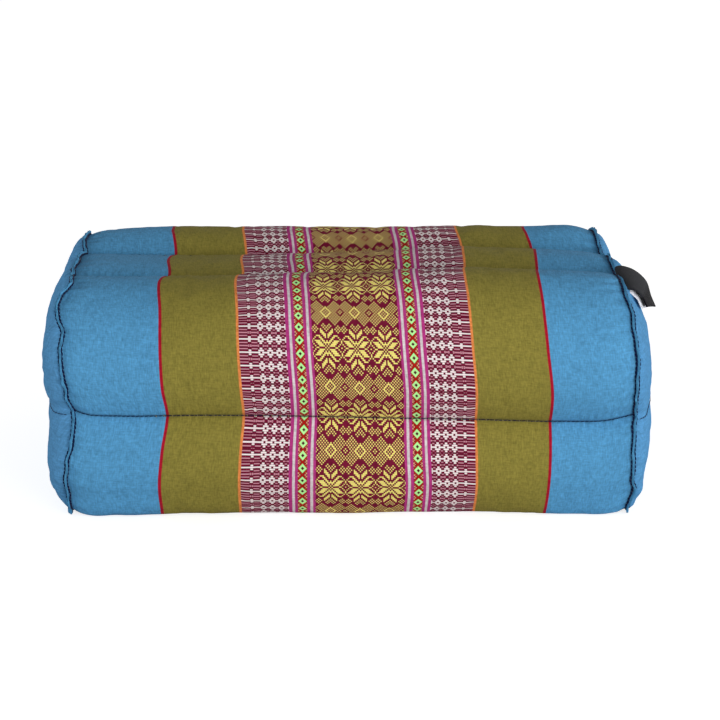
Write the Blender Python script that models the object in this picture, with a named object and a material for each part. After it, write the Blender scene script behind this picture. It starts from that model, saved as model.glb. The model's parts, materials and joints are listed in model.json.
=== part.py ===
"""Block cushion of six filled tubes: three tubes deep and two high, under one woven wrap.

The wrap's sewn channels run along X. Two plain end panels bulge at the ends, the turned-out
seam allowance stands up round each end as a ridge, and a small folded label with a shorter
strip under it is caught in the right-hand end seam. X is the length, Z is up, the front is -Y.
"""

import math

import bmesh
import bpy
import numpy as np

MM = 0.001

# Driving dimensions, in metres.
HALF_LENGTH = 0.1527        # from the middle to an end seam, at mid depth
END_LEAN = 0.030            # how much shorter each half gets per metre towards the back
GAP = 0.3 * MM              # air between neighbouring pieces
FLOOR_ROUNDING = 2.5 * MM   # how softly the underside turns up from the floor
FOOT_HALF_LENGTH = 0.1185   # the underside is flat inside this straight-edged rectangle
FOOT_HALF_WIDTH = 0.0707
FOOT_SNAP = 3.0 * MM        # points of the mesh this near its edges are moved onto them
FOOT_AIR = 0.5 * MM         # least height of the underside outside it

# Sewn channels at mid length, clockwise from the front: place in the section (y, z), and how far
# the end seam is drawn in there (left end, right end).
CHANNELS = {
    "front":        {"y": -0.0874, "z": 0.0602, "draw_left": 0.0070, "draw_right": 0.0005},
    "top_front":    {"y": -0.0301, "z": 0.1227, "draw_left": 0.0019, "draw_right": 0.0009},
    "top_back":     {"y": 0.0287, "z": 0.1198, "draw_left": 0.0038, "draw_right": 0.0009},
    "back":         {"y": 0.0879, "z": 0.0602, "draw_left": 0.0056, "draw_right": 0.0038},
    "bottom_back":  {"y": 0.0291, "z": 0.0028, "draw_left": 0.0038, "draw_right": 0.0028},
    "bottom_front": {"y": -0.0291, "z": 0.0028, "draw_left": 0.0038, "draw_right": 0.0019},
}

# Tubes in the same order, each from its channel to the next: crown height above the chord, and how
# far the end seam is drawn in along the whole tube (left end, right end).
TUBES = {
    "front_top":     {"crown": 0.0362, "steps": 16, "draw_left": 0.0017, "draw_right": -0.0008},
    "middle_top":    {"crown": 0.0055, "steps": 8, "draw_left": 0.0000, "draw_right": 0.0000},
    "back_top":      {"crown": 0.0381, "steps": 16, "draw_left": 0.0000, "draw_right": 0.0036},
    "back_bottom":   {"crown": 0.0357, "steps": 16, "draw_left": 0.0028, "draw_right": 0.0038},
    "middle_bottom": {"crown": 0.0065, "steps": 8, "draw_left": 0.0028, "draw_right": 0.0009},
    "front_bottom":  {"crown": 0.0357, "steps": 16, "draw_left": 0.0038, "draw_right": -0.0009},
}

# How the filling varies along the length, from left to right: x, rise of the side channels, rise
# of the two top channels, and extra crown of the front, middle and back tubes of the top layer.
FILLING = (
    # x,      side_rise, top_rise, front,    middle,   back
    (-0.1527, 0.0038,    0.0000,  -0.0075,  -0.0019,  -0.0052),
    (-0.1410, 0.0013,   -0.0017,  -0.0062,   0.0000,  -0.0019),
    (-0.1203, 0.0003,   -0.0019,  -0.0062,   0.0000,  -0.0006),
    (-0.0799, 0.0005,   -0.0015,  -0.0042,  -0.0004,   0.0002),
    (-0.0376, 0.0000,   -0.0002,  -0.0008,   0.0000,   0.0005),
    (0.0141,  -0.0014,   0.0013,   0.0023,   0.0004,   0.0004),
    (0.0705,  -0.0028,   0.0030,   0.0038,   0.0004,   0.0004),
    (0.1175,  -0.0041,   0.0019,   0.0039,   0.0002,   0.0009),
    (0.1400,  -0.0036,   0.0009,   0.0033,   0.0000,   0.0015),
    (0.1527,  -0.0008,   0.0009,   0.0005,  -0.0009,  -0.0019),
)

# Rounding of the wrap over its last stretch before an end seam.
TAPER_REACH = 0.0205
TAPER_WIDTH = 0.020         # share of the depth lost at the seam
TAPER_TOP = 0.030           # share of the height lost at the seam, above the side channels
TAPER_BOTTOM = 0.050        # the same below them

# End panels.
BULGE_LEFT = 0.0188
BULGE_RIGHT = 0.0169
LOWER_BULGE_LEFT = 1.02     # share of the bulge that the lower tubes have
LOWER_BULGE_RIGHT = 0.97
PANEL_THICKNESS = 2.0 * MM
SEWN_LINE_DEPTH = 0.09      # share of the bulge lost on the panel's sewn line at mid height
SEWN_LINE_WIDTH = 0.055     # its half width, as a share of the panel's height
CREASE_DEPTH = 0.10         # the same for the upright creases between tubes
CREASE_WIDTH = 0.09

# Turned-out seam allowance.
RIDGE_HEIGHT = 3.4 * MM
RIDGE_THICKNESS = 2.3 * MM
RIDGE_WAVE = 0.5 * MM
RIDGE_INSET = 0.2 * MM      # how far it lies on the wrap's side of the seam
RIDGE_ROOT = 0.5 * MM       # air under it, where the wrap dips between its stations
RIDGE_LOWEST = 0.35 * MM    # it hangs just clear of the floor

# Folded label and the strip under it, caught in the right-hand end seam. Each row is a place along
# the ribbon, in mm from its root: out and down at the far edge, then at the near edge.
LABEL_RUN = (
    # far out, far down, near out, near down
    (0.0,  0.0,   0.0,  0.0),
    (5.2,  0.0,   3.0, -1.3),
    (9.9,  1.3,   6.2, -1.9),
    (14.1, 4.3,   9.0, -1.1),
    (17.2, 8.1,   11.3,  0.8),
    (19.2, 12.6,  12.8,  3.4),
    (20.7, 17.9,  13.7,  6.8),
    (22.6, 23.5,  14.5,  10.3),
)
LABEL_THICKNESS = 1.0 * MM
LABEL_SEAM = (0.60, 0.90)   # where its near and far edges meet the seam, as shares of the tube's arc
LABEL_ROOT_RISE = 3.6 * MM  # it lies against the ridge's side, this far off the wrap
UNDER_LABEL_THICKNESS = 0.5 * MM
RIBBON_AIR = 0.5 * MM       # between the label and the strip under it
RIBBON_COLUMNS = 4

PINCH_SHARE = 0.16          # how far a channel's pinch reaches, as a share of a tube's arc
STATION_COUNT = 31


def remove_everything():
    """Empty the scene."""
    for obj in list(bpy.data.objects):
        bpy.data.objects.remove(obj, do_unlink=True)


def filling_at(x):
    """Read the filling table at x, along a smooth curve through its rows."""
    rows = np.array(FILLING)
    places, values = rows[:, 0], rows[:, 1:]
    slopes = np.gradient(values, places, axis=0)
    x = min(max(x, places[0]), places[-1])
    row = min(int(np.searchsorted(places, x, side="right")) - 1, len(rows) - 2)
    width = places[row + 1] - places[row]
    share = (x - places[row]) / width
    ease = share * share * (3.0 - 2.0 * share)
    level = values[row] * (1.0 - ease) + values[row + 1] * ease
    rest = 1.0 - share
    bend = share * rest * width * (rest * slopes[row] - share * slopes[row + 1])
    return dict(zip(("side", "top", "front_top", "middle_top", "back_top"), level + bend))


def soft_floor(height):
    """Keep a height at or above zero, flat below it, with a rounded turn from flat to rising."""
    if height <= -FLOOR_ROUNDING:
        return 0.0
    if height >= FLOOR_ROUNDING:
        return height
    return (height + FLOOR_ROUNDING) ** 2 / (4.0 * FLOOR_ROUNDING)


def arc_between(start, end, crown, steps):
    """Points of a circular arc from start, without its end, crowned to the left of its direction."""
    start = np.array(start)
    end = np.array(end)
    chord = np.linalg.norm(end - start)
    along = (end - start) / chord
    out = np.array((-along[1], along[0]))
    half_angle = 2.0 * math.atan(2.0 * crown / chord)
    radius = chord / (2.0 * math.sin(half_angle))
    centre = (start + end) / 2.0 - out * radius * math.cos(half_angle)
    angles = np.linspace(-half_angle, half_angle, steps, endpoint=False)
    return [centre + radius * (math.sin(a) * along + math.cos(a) * out) for a in angles]


def end_taper(x):
    """0 along the middle, rising to 1 at an end seam."""
    reach = (abs(x) - (HALF_LENGTH - TAPER_REACH)) / TAPER_REACH
    return min(max(reach, 0.0), 1.0) ** 2.2


def wrap_section(x):
    """The wrap's outline at x, as (y, z) points clockwise from the front channel."""
    filling = filling_at(x)
    rise = {"front": filling["side"], "back": filling["side"],
            "top_front": filling["top"], "top_back": filling["top"]}
    corners = [(place["y"], place["z"] + rise.get(name, 0.0)) for name, place in CHANNELS.items()]
    points = []
    for index, (name, tube) in enumerate(TUBES.items()):
        crown = tube["crown"] + filling.get(name, 0.0)
        start, end = corners[index], corners[(index + 1) % len(corners)]
        points += arc_between(start, end, crown, tube["steps"])
    taper = end_taper(x)
    waist = CHANNELS["front"]["z"]
    outline = []
    for y, z in points:
        share = TAPER_TOP if z > waist else TAPER_BOTTOM
        z = waist + (soft_floor(z) - waist) * (1.0 - share * taper)
        outline.append((y * (1.0 - TAPER_WIDTH * taper), z))
    return outline


def seam_draw(side):
    """How far the end seam is drawn in at each point of the outline."""
    key = "draw_right" if side > 0 else "draw_left"
    pinches = [place[key] for place in CHANNELS.values()]
    tubes = list(TUBES.values())
    values = []
    for index, tube in enumerate(tubes):
        before, after = tubes[index - 1][key], tubes[(index + 1) % len(tubes)][key]
        for step in range(tube["steps"]):
            share = step / tube["steps"]
            near = math.exp(-(share / PINCH_SHARE) ** 2)
            far = math.exp(-((1.0 - share) / PINCH_SHARE) ** 2)
            level = tube[key] + 0.5 * near * (before - tube[key]) + 0.5 * far * (after - tube[key])
            pinch = pinches[index] * near + pinches[(index + 1) % len(pinches)] * far
            values.append(level + pinch)
    return values


def seam_reach(y, side, draw):
    """Distance from the middle to the end seam at one point of the outline."""
    return side * (HALF_LENGTH - END_LEAN * y - draw)


def station_shares():
    """Shares of the half length from -1 to 1, closer together towards the ends."""
    even = np.linspace(-1.0, 1.0, STATION_COUNT)
    return np.sin(even * math.pi / 2.0) * 0.55 + even * 0.45


def snapped(value, edge):
    """A coordinate, moved onto the edge at plus or minus edge when it is near it."""
    return math.copysign(edge, value) if abs(abs(value) - edge) < FOOT_SNAP else value


def planted(point):
    """A point of the wrap, pressed flat inside the footprint and kept off the floor outside it."""
    x, y, z = point
    if z >= FOOT_AIR:
        return point
    x, y = snapped(x, FOOT_HALF_LENGTH), snapped(y, FOOT_HALF_WIDTH)
    inside = abs(x) <= FOOT_HALF_LENGTH and abs(y) <= FOOT_HALF_WIDTH
    return (x, y, 0.0 if inside else FOOT_AIR)


def wrap_rings():
    """Rings of (x, y, z) points, from the left end seam to the right one."""
    draw = {-1: seam_draw(-1), 1: seam_draw(1)}
    rings = []
    for share in station_shares():
        side = 1 if share > 0 else -1
        outline = wrap_section(share * HALF_LENGTH)
        ring = []
        for index, (y, z) in enumerate(outline):
            pull = draw[side][index] * abs(share) ** 12
            ring.append(planted((abs(share) * seam_reach(y, side, pull), y, z)))
        rings.append(ring)
    return rings


def grid_sides():
    """Outline indices along the four sides of the end's grid, each from corner to corner.

    The grid's corners are the middles of the four corner tubes' arcs.
    """
    counts = [tube["steps"] for tube in TUBES.values()]
    starts = [sum(counts[:index]) for index in range(len(counts))]
    total = sum(counts)
    corner = {name: starts[index] + counts[index] // 2
              for index, name in enumerate(TUBES) if not name.startswith("middle")}

    def run(first, last):
        length = (last - first) % total
        return [(first + step) % total for step in range(length + 1)]

    bottom = run(corner["back_bottom"], corner["front_bottom"])[::-1]
    top = run(corner["front_top"], corner["back_top"])
    front = run(corner["front_bottom"], corner["front_top"])
    back = run(corner["back_top"], corner["back_bottom"])[::-1]
    return bottom, top, front, back


def bulge_share(across, up, lower_share):
    """How full the end panel is at a place of its grid, from 0 at its seam to 1."""
    edge = (1.0 - abs(2.0 * across - 1.0) ** 2.6) * (1.0 - abs(2.0 * up - 1.0) ** 2.6)
    fullness = max(edge, 0.0) ** 0.7
    line = SEWN_LINE_DEPTH * math.exp(-((up - 0.5) / SEWN_LINE_WIDTH) ** 2)
    creases = sum(math.exp(-((across - place) / CREASE_WIDTH) ** 2) for place in (0.345, 0.655))
    layer = lower_share + (1.0 - lower_share) * min(max((up - 0.4) / 0.2, 0.0), 1.0)
    return fullness * layer * (1.0 - line - CREASE_DEPTH * creases)


def end_grid(ring, side, lift):
    """Rows of points that fill an end ring, bulged outwards and lifted off by lift along X."""
    bottom, top, front, back = grid_sides()
    ring = np.array(ring)
    columns = len(bottom)
    rows = len(front)
    bulge = BULGE_RIGHT if side > 0 else BULGE_LEFT
    lower_share = LOWER_BULGE_RIGHT if side > 0 else LOWER_BULGE_LEFT
    low, high = ring[bottom], ring[top]
    near, far = ring[front], ring[back]
    grid = []
    for row in range(rows):
        up = row / (rows - 1)
        line = []
        for column in range(columns):
            across = column / (columns - 1)
            point = (1 - up) * low[column] + up * high[column]
            point = point + (1 - across) * near[row] + across * far[row]
            point = point - (1 - up) * ((1 - across) * low[0] + across * low[-1])
            point = point - up * ((1 - across) * high[0] + across * high[-1])
            point[0] += side * (bulge * bulge_share(across, up, lower_share) + lift)
            line.append(tuple(point))
        grid.append(line)
    return grid


def add_grid(bm, grid, outline_verts, flip):
    """Add an end grid's faces, sharing its edge with the verts of an outline."""
    bottom, top, front, back = grid_sides()
    shared = {}
    for column, index in enumerate(bottom):
        shared[(0, column)] = outline_verts[index]
    for column, index in enumerate(top):
        shared[(len(front) - 1, column)] = outline_verts[index]
    for row, index in enumerate(front):
        shared[(row, 0)] = outline_verts[index]
    for row, index in enumerate(back):
        shared[(row, len(bottom) - 1)] = outline_verts[index]
    verts = [[shared.get((row, column)) or bm.verts.new(point) for column, point in enumerate(line)]
             for row, line in enumerate(grid)]
    for row in range(len(grid) - 1):
        for column in range(len(grid[0]) - 1):
            low_near, low_far = verts[row][column], verts[row][column + 1]
            high_near, high_far = verts[row + 1][column], verts[row + 1][column + 1]
            for corners in ((low_near, low_far, high_far), (low_near, high_far, high_near)):
                bm.faces.new(corners[::-1] if flip else corners)


def bridge(bm, first, second):
    """Join two closed rings of verts with quads."""
    count = len(first)
    for index in range(count):
        after = (index + 1) % count
        bm.faces.new((first[index], second[index], second[after], first[after]))


def make_material(name, colour, roughness):
    """A plain cloth material."""
    material = bpy.data.materials.new(name)
    material.use_nodes = True
    shader = material.node_tree.nodes["Principled BSDF"]
    shader.inputs["Base Color"].default_value = (*colour, 1.0)
    shader.inputs["Roughness"].default_value = roughness
    shader.inputs["Metallic"].default_value = 0.0
    return material


def make_object(name, bm, material):
    """Turn a closed bmesh into a named object with its faces pointing out."""
    bmesh.ops.recalc_face_normals(bm, faces=bm.faces)
    mesh = bpy.data.meshes.new(name)
    bm.to_mesh(mesh)
    bm.free()
    mesh.shade_smooth()
    mesh.set_sharp_from_angle(angle=math.radians(40.0))
    mesh.materials.append(material)
    obj = bpy.data.objects.new(name, mesh)
    bpy.context.collection.objects.link(obj)
    return obj


def build_body(rings):
    """The filled body: the wrap's surface, closed at both ends by the bulge behind the panels."""
    bm = bmesh.new()
    verts = [[bm.verts.new(point) for point in ring] for ring in rings]
    for first, second in zip(verts, verts[1:]):
        bridge(bm, first, second)
    add_grid(bm, end_grid(rings[0], -1, 0.0), verts[0], flip=True)
    add_grid(bm, end_grid(rings[-1], 1, 0.0), verts[-1], flip=False)
    return make_object("cushion_body", bm, make_material("woven_wrap", (0.08, 0.33, 0.56), 0.75))


def build_panel(name, ring, side):
    """An end panel: a sheet that covers one bulged end."""
    bm = bmesh.new()
    surfaces = []
    for lift in (GAP, GAP + PANEL_THICKNESS):
        outline = [bm.verts.new((x + side * lift, y, z)) for x, y, z in ring]
        add_grid(bm, end_grid(ring, side, lift), outline, flip=lift == GAP)
        surfaces.append(outline)
    bridge(bm, surfaces[0], surfaces[1])
    return make_object(name, bm, make_material(name + "_cloth", (0.07, 0.22, 0.45), 0.8))


def outward_normals(ring):
    """Unit normals of an outline in its own section, pointing out."""
    points = np.array([(y, z) for _, y, z in ring])
    tangent = np.roll(points, -1, axis=0) - np.roll(points, 1, axis=0)
    normal = np.stack((-tangent[:, 1], tangent[:, 0]), axis=1)
    return normal / np.linalg.norm(normal, axis=1)[:, None]


def build_ridge(name, ring, side):
    """The turned-out seam allowance: a wavy raised edge all round an end seam."""
    bm = bmesh.new()
    normals = outward_normals(ring)
    count = len(ring)
    loops = [[] for _ in range(6)]
    for index, (x, y, z) in enumerate(ring):
        turn = 2.0 * math.pi * index / count
        wave = math.sin(9.0 * turn + 0.6) + 0.6 * math.sin(23.0 * turn + side)
        height = RIDGE_HEIGHT + 0.5 * RIDGE_WAVE * wave
        sway = RIDGE_WAVE * math.sin(14.0 * turn + 2.0 * side)
        normal_y, normal_z = normals[index]
        if normal_z < -0.2:
            height = min(height, (z - RIDGE_LOWEST) / -normal_z)
        root = x - side * RIDGE_INSET
        tip = root + side * sway
        profile = (
            (root, RIDGE_ROOT),
            (tip, 0.8 * height),
            (tip + side * 0.25 * RIDGE_THICKNESS, height),
            (tip + side * 0.75 * RIDGE_THICKNESS, height),
            (tip + side * RIDGE_THICKNESS, 0.8 * height),
            (root + side * RIDGE_THICKNESS, RIDGE_ROOT),
        )
        for loop, (place, out) in zip(loops, profile):
            loop.append(bm.verts.new((place, y + out * normal_y, z + out * normal_z)))
    for index, loop in enumerate(loops):
        bridge(bm, loop, loops[(index + 1) % len(loops)])
    return make_object(name, bm, make_material(name + "_cloth", (0.08, 0.30, 0.55), 0.8))


def ribbon_path(far_root, near_root):
    """Rows of the label's run: its far edge, its near edge and the unit normal of its face."""
    edges = []
    for far_out, far_down, near_out, near_down in LABEL_RUN:
        far = far_root + MM * np.array((far_out, 0.0, -far_down))
        near = near_root + MM * np.array((near_out, 0.0, -near_down))
        edges.append((far, near))
    path = []
    for index, (far, near) in enumerate(edges):
        before = edges[max(index - 1, 0)]
        after = edges[min(index + 1, len(edges) - 1)]
        face = np.cross(sum(after) - sum(before), far - near)
        path.append((far, near, face / np.linalg.norm(face)))
    return path


def build_ribbon(name, path, lift, thickness, colour):
    """A ribbon along a path, lifted off it by lift along its face."""
    bm = bmesh.new()
    loops = []
    for far, near, face in path:
        top, bottom = (lift + thickness / 2.0) * face, (lift - thickness / 2.0) * face
        shares = np.linspace(0.0, 1.0, RIBBON_COLUMNS + 1)
        line = [far + share * (near - far) for share in shares]
        corners = [point + top for point in line] + [point + bottom for point in line[::-1]]
        loops.append([bm.verts.new(corner) for corner in corners])
    for first, second in zip(loops, loops[1:]):
        bridge(bm, first, second)
    bm.faces.new(loops[0])
    bm.faces.new(loops[-1])
    return make_object(name, bm, make_material(name + "_ribbon", colour, 0.6))


def build_labels(ring):
    """The folded label and the thin strip under it, on the front top tube's end seam."""
    points = np.array(ring)
    normals = outward_normals(ring)
    clear = RIDGE_THICKNESS - RIDGE_INSET + RIDGE_WAVE + GAP
    roots = []
    for share in LABEL_SEAM:
        index = round(share * TUBES["front_top"]["steps"])
        lift = LABEL_ROOT_RISE * normals[index]
        roots.append(points[index] + np.array((clear, lift[0], lift[1])))
    path = ribbon_path(roots[1], roots[0])
    drop = LABEL_THICKNESS / 2.0 + RIBBON_AIR + UNDER_LABEL_THICKNESS / 2.0
    label = build_ribbon("label", path, 0.0, LABEL_THICKNESS, (0.035, 0.033, 0.036))
    strip = build_ribbon("under_label", path, -drop, UNDER_LABEL_THICKNESS, (0.80, 0.78, 0.76))
    return [label, strip]


def centre_on_footprint(objects):
    """Move every piece so that the origin is under the middle of the whole cushion."""
    corners = np.array([vertex.co for obj in objects for vertex in obj.data.vertices])
    low, high = corners.min(axis=0), corners.max(axis=0)
    shift = np.array(((low[0] + high[0]) / 2.0, (low[1] + high[1]) / 2.0, low[2]))
    for obj in objects:
        for vertex in obj.data.vertices:
            vertex.co = np.array(vertex.co) - shift


def main():
    """Build the cushion."""
    remove_everything()
    rings = wrap_rings()
    pieces = [build_body(rings)]
    for name, ring, side in (("left", rings[0], -1), ("right", rings[-1], 1)):
        pieces.append(build_panel("end_panel_" + name, ring, side))
        pieces.append(build_ridge("edge_ridge_" + name, ring, side))
    pieces += build_labels(rings[-1])
    centre_on_footprint(pieces)


main()
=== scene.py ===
import json
import logging
import math
from dataclasses import dataclass, field, replace
from enum import Enum
from functools import reduce

import bmesh
import bpy
import numpy as np
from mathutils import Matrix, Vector
from mathutils.bvhtree import BVHTree

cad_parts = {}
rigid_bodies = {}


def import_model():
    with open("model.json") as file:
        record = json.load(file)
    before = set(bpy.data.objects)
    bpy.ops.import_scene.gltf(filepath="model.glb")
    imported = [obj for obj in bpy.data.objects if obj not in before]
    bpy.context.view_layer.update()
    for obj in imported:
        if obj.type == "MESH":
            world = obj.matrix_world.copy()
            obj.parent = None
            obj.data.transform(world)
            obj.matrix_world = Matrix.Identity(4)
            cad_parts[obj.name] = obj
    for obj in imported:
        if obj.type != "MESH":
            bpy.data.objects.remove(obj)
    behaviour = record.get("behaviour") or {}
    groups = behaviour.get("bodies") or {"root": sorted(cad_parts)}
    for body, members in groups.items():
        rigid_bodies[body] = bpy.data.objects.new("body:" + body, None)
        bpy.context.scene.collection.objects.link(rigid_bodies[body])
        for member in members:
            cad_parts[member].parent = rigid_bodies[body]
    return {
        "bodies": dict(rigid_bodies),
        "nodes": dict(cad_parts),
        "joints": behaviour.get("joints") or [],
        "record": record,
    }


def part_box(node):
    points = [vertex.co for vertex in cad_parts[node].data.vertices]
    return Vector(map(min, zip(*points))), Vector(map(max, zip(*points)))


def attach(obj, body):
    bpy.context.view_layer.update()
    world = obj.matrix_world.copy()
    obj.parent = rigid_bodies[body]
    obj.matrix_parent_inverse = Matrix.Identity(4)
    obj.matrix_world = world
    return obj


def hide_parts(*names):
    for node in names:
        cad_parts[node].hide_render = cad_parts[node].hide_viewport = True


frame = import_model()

LOG = logging.getLogger("block_cushion")
MM = 0.001
BODY = "root"
CLOTH_MAP = "cloth"
BAKE_MAP = "OFBake"

Array = np.ndarray
Material = bpy.types.Material
Piece = bpy.types.Object
Socket = bpy.types.NodeSocket
# What a node's input takes: another node's output, or a value of its own.
Feed = Socket | Material | float | int | str | tuple

# One cell of the woven charts: a warp end wide, a weft pick high.
CELL_WIDTH = 0.783 * MM
PICK = 0.9757 * MM


def linear(red: float, green: float, blue: float) -> tuple[float, float, float, float]:
    """Turn a colour written as 0 to 255 on screen into the linear colour a shader takes.

    Args:
        red: share of red, 0 to 255.
        green: share of green.
        blue: share of blue.

    Returns:
        Linear red, green and blue, and a solid alpha.
    """
    shares = [channel / 255.0 for channel in (red, green, blue)]
    values = [s / 12.92 if s <= 0.04045 else ((s + 0.055) / 1.055) ** 2.4 for s in shares]
    return (*values, 1.0)


class Side(Enum):
    """The two ends of the cushion, by the sign of X."""

    LEFT = -1
    RIGHT = 1

    @property
    def word(self) -> str:
        """The side's name in the names of pieces and nodes."""
        return self.name.lower()


@dataclass(frozen=True)
class Channel:
    """A sewn channel: its place in the section, and how far it draws in each end seam."""

    y: float
    z: float
    draw_left: float
    draw_right: float


@dataclass(frozen=True)
class Tube:
    """A filled tube between two channels: its crown and how far its end seams are drawn in."""

    name: str
    crown: float
    steps: int
    draw_left: float
    draw_right: float
    core: tuple[tuple[float, float], ...]


CHANNELS = (
    Channel(-0.0874, 0.0602, 0.0070, 0.0005),
    Channel(-0.0301, 0.1227, 0.0019, 0.0009),
    Channel(0.0287, 0.1198, 0.0038, 0.0009),
    Channel(0.0879, 0.0602, 0.0056, 0.0038),
    Channel(0.0291, 0.0028, 0.0038, 0.0028),
    Channel(-0.0291, 0.0028, 0.0038, 0.0019),
)

# Each tube's inner corners, from its last channel back to its first.
CORE_FRONT = (-0.0300, 0.0602)
CORE_BACK = (0.0290, 0.0602)

TUBES = (
    Tube("tube_front_top", 0.0362, 64, 0.0017, -0.0008, (CORE_FRONT,)),
    Tube("tube_middle_top", 0.0055, 32, 0.0, 0.0, (CORE_BACK, CORE_FRONT)),
    Tube("tube_back_top", 0.0381, 64, 0.0, 0.0036, (CORE_BACK,)),
    Tube("tube_back_bottom", 0.0357, 64, 0.0028, 0.0038, (CORE_BACK,)),
    Tube("tube_middle_bottom", 0.0065, 32, 0.0028, 0.0009, (CORE_FRONT, CORE_BACK)),
    Tube("tube_front_bottom", 0.0357, 64, 0.0038, -0.0009, (CORE_FRONT,)),
)

# How the filling varies along the length: x, rise of the side channels, rise of the top channels,
# and extra crown of the front, middle and back tubes of the top layer.
FILLING = np.array((
    (-0.1527, 0.0038, 0.0000, -0.0075, -0.0019, -0.0052),
    (-0.1410, 0.0013, -0.0017, -0.0062, 0.0000, -0.0019),
    (-0.1203, 0.0003, -0.0019, -0.0062, 0.0000, -0.0006),
    (-0.0799, 0.0005, -0.0015, -0.0042, -0.0004, 0.0002),
    (-0.0376, 0.0000, -0.0002, -0.0008, 0.0000, 0.0005),
    (0.0141, -0.0014, 0.0013, 0.0023, 0.0004, 0.0004),
    (0.0705, -0.0028, 0.0030, 0.0038, 0.0004, 0.0004),
    (0.1175, -0.0041, 0.0019, 0.0039, 0.0002, 0.0009),
    (0.1400, -0.0036, 0.0009, 0.0033, 0.0000, 0.0015),
    (0.1527, -0.0008, 0.0009, 0.0005, -0.0009, -0.0019),
))

# Where the cloth's warp stripes lie, in mm along X, at places along the wrap in mm from the front
# channel: a row for each crown, flank and channel that the photo shows. Round the back and
# underneath the stripes run straight on.
STRIPE_LINES = np.array((
    # along, left red, left grey, right grey, right red
    (-60.0, -101.5, -29.0, 44.0, 109.5),
    (-40.0, -102.0, -29.0, 44.5, 110.5),
    (-20.0, -100.0, -28.5, 43.5, 111.0),
    (0.0, -97.0, -27.5, 43.0, 111.0),
    (20.0, -99.0, -28.0, 42.5, 111.0),
    (45.0, -100.0, -29.5, 40.5, 108.0),
    (70.0, -100.5, -30.5, 39.0, 106.0),
    (100.0, -102.0, -31.5, 37.5, 105.0),
    (125.0, -98.0, -29.0, 39.5, 107.5),
    (155.0, -100.0, -30.5, 39.5, 108.5),
    (185.0, -97.5, -29.0, 41.0, 110.0),
    (212.0, -100.5, -31.0, 39.0, 106.5),
))
STRIPE_CELLS = (-134.8, -44.9, 44.9, 134.8)

# The wrap's place, in mm, past which places are counted back from the front channel.
WRAP_TURN = 486.0

# Weft picks at places along the wrap, in mm from the front channel. The rows between -40.5 and
# 202.5 are where motifs sit in the photo; the last row of each table carries the cloth on evenly.
# The front channel takes up 3.5 picks.
PICKS_ABOVE = np.array((
    (0.0, 0.0), (22.5, 22.0), (44.5, 44.0), (64.5, 66.0), (83.0, 88.0), (132.0, 132.0),
    (202.5, 198.0), (WRAP_TURN, 494.5),
))
PICKS_BELOW = np.array(((-115.0, -117.5), (-40.5, -44.0), (-18.5, -22.0), (0.0, -3.5)))

# How the picks slope down to the right, in picks for each mm along X, at places along the wrap.
PICK_SLOPE = np.array((
    (-60.0, 0.0), (-20.0, 0.01), (10.0, 0.03), (45.0, 0.03), (64.0, 0.06), (84.0, 0.03),
    (200.0, 0.02), (300.0, 0.0),
))

# How far each end seam lies along X from its plain run, in mm, at places along the wrap: a row for
# each kink that the photo shows on the front and the top; plain round the back and underneath.
SEAM_RUN = np.array((
    # along, left, right
    (-80.0, 0.0, 0.0), (-60.0, -1.0, -0.5), (-51.0, -0.5, 0.5), (-45.0, -1.0, 1.0),
    (-41.0, -1.0, -0.5), (-34.0, 0.0, 0.0), (-28.0, 0.5, 0.0), (-22.0, 1.5, -1.0),
    (-15.0, 1.0, 0.0), (-9.0, -0.5, 0.5), (0.0, -2.0, 1.0), (6.0, -3.0, 0.5),
    (20.0, -1.0, 0.0), (45.0, 0.5, -0.5), (55.0, 1.0, -2.0), (66.0, -2.0, -2.0),
    (80.0, -1.5, -4.5), (96.0, 2.0, -5.0), (125.0, 0.0, -1.5), (150.0, 2.0, -2.0),
    (185.0, -1.0, 0.5), (200.0, -2.0, 1.0), (220.0, 0.0, 0.5), (240.0, 0.0, 0.0),
))


def ease_in_out(share: Array) -> Array:
    """A smooth step from 0 to 1 for shares from 0 to 1."""
    return share * share * (3.0 - 2.0 * share)


def rising(value: Array, start: float, width: float) -> Array:
    """0 up to a start, then rising evenly to 1 over a width."""
    return np.clip((value - start) / width, 0.0, 1.0)


def bell(offset: Array, width: float) -> Array:
    """1 where the offset is 0, falling to about a third at the width on both sides."""
    return np.exp(-(offset / width) ** 2)


def pucker(away: Array, reach: float) -> Array:
    """0 at a row of stitches, 1 at the reach, and dying away beyond it."""
    return away / reach * np.exp(1.0 - away / reach)


def read_smoothly(table: Array, places: Array) -> Array:
    """Read a table along a smooth curve through its rows.

    Args:
        table: rows of a place and the values there, by rising place.
        places: where to read it; the first and last rows hold beyond the table.

    Returns:
        One row of values for each place.
    """
    known, values = table[:, 0], table[:, 1:]
    slopes = np.gradient(values, known, axis=0)
    places = np.clip(np.asarray(places, dtype=float), known[0], known[-1])
    row = np.clip(np.searchsorted(known, places, side="right") - 1, 0, len(known) - 2)
    width = known[row + 1] - known[row]
    share = ((places - known[row]) / width)[..., None]
    rest = 1.0 - share
    ease = ease_in_out(share)
    level = values[row] * (1.0 - ease) + values[row + 1] * ease
    bend = share * rest * width[..., None] * (rest * slopes[row] - share * slopes[row + 1])
    return level + bend


def wander(places: Array, wavelength: float, seed: int) -> Array:
    """Smooth random waves along a line, between about -1 and 1, the same for the same seed.

    Args:
        places: where along the line each value is wanted, as an array of any shape.
        wavelength: distance between the random values, in the same unit.
        seed: picks the values.

    Returns:
        One value for each place, in the same shape.
    """
    places = np.asarray(places, dtype=float) / wavelength
    low = math.floor(places.min()) - 2
    knots = np.random.default_rng(seed).uniform(-1.0, 1.0, math.ceil(places.max()) - low + 4)
    index = np.floor(places).astype(int) - low
    ease = ease_in_out(places - np.floor(places))
    return knots[index] * (1.0 - ease) + knots[index + 1] * ease


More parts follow.
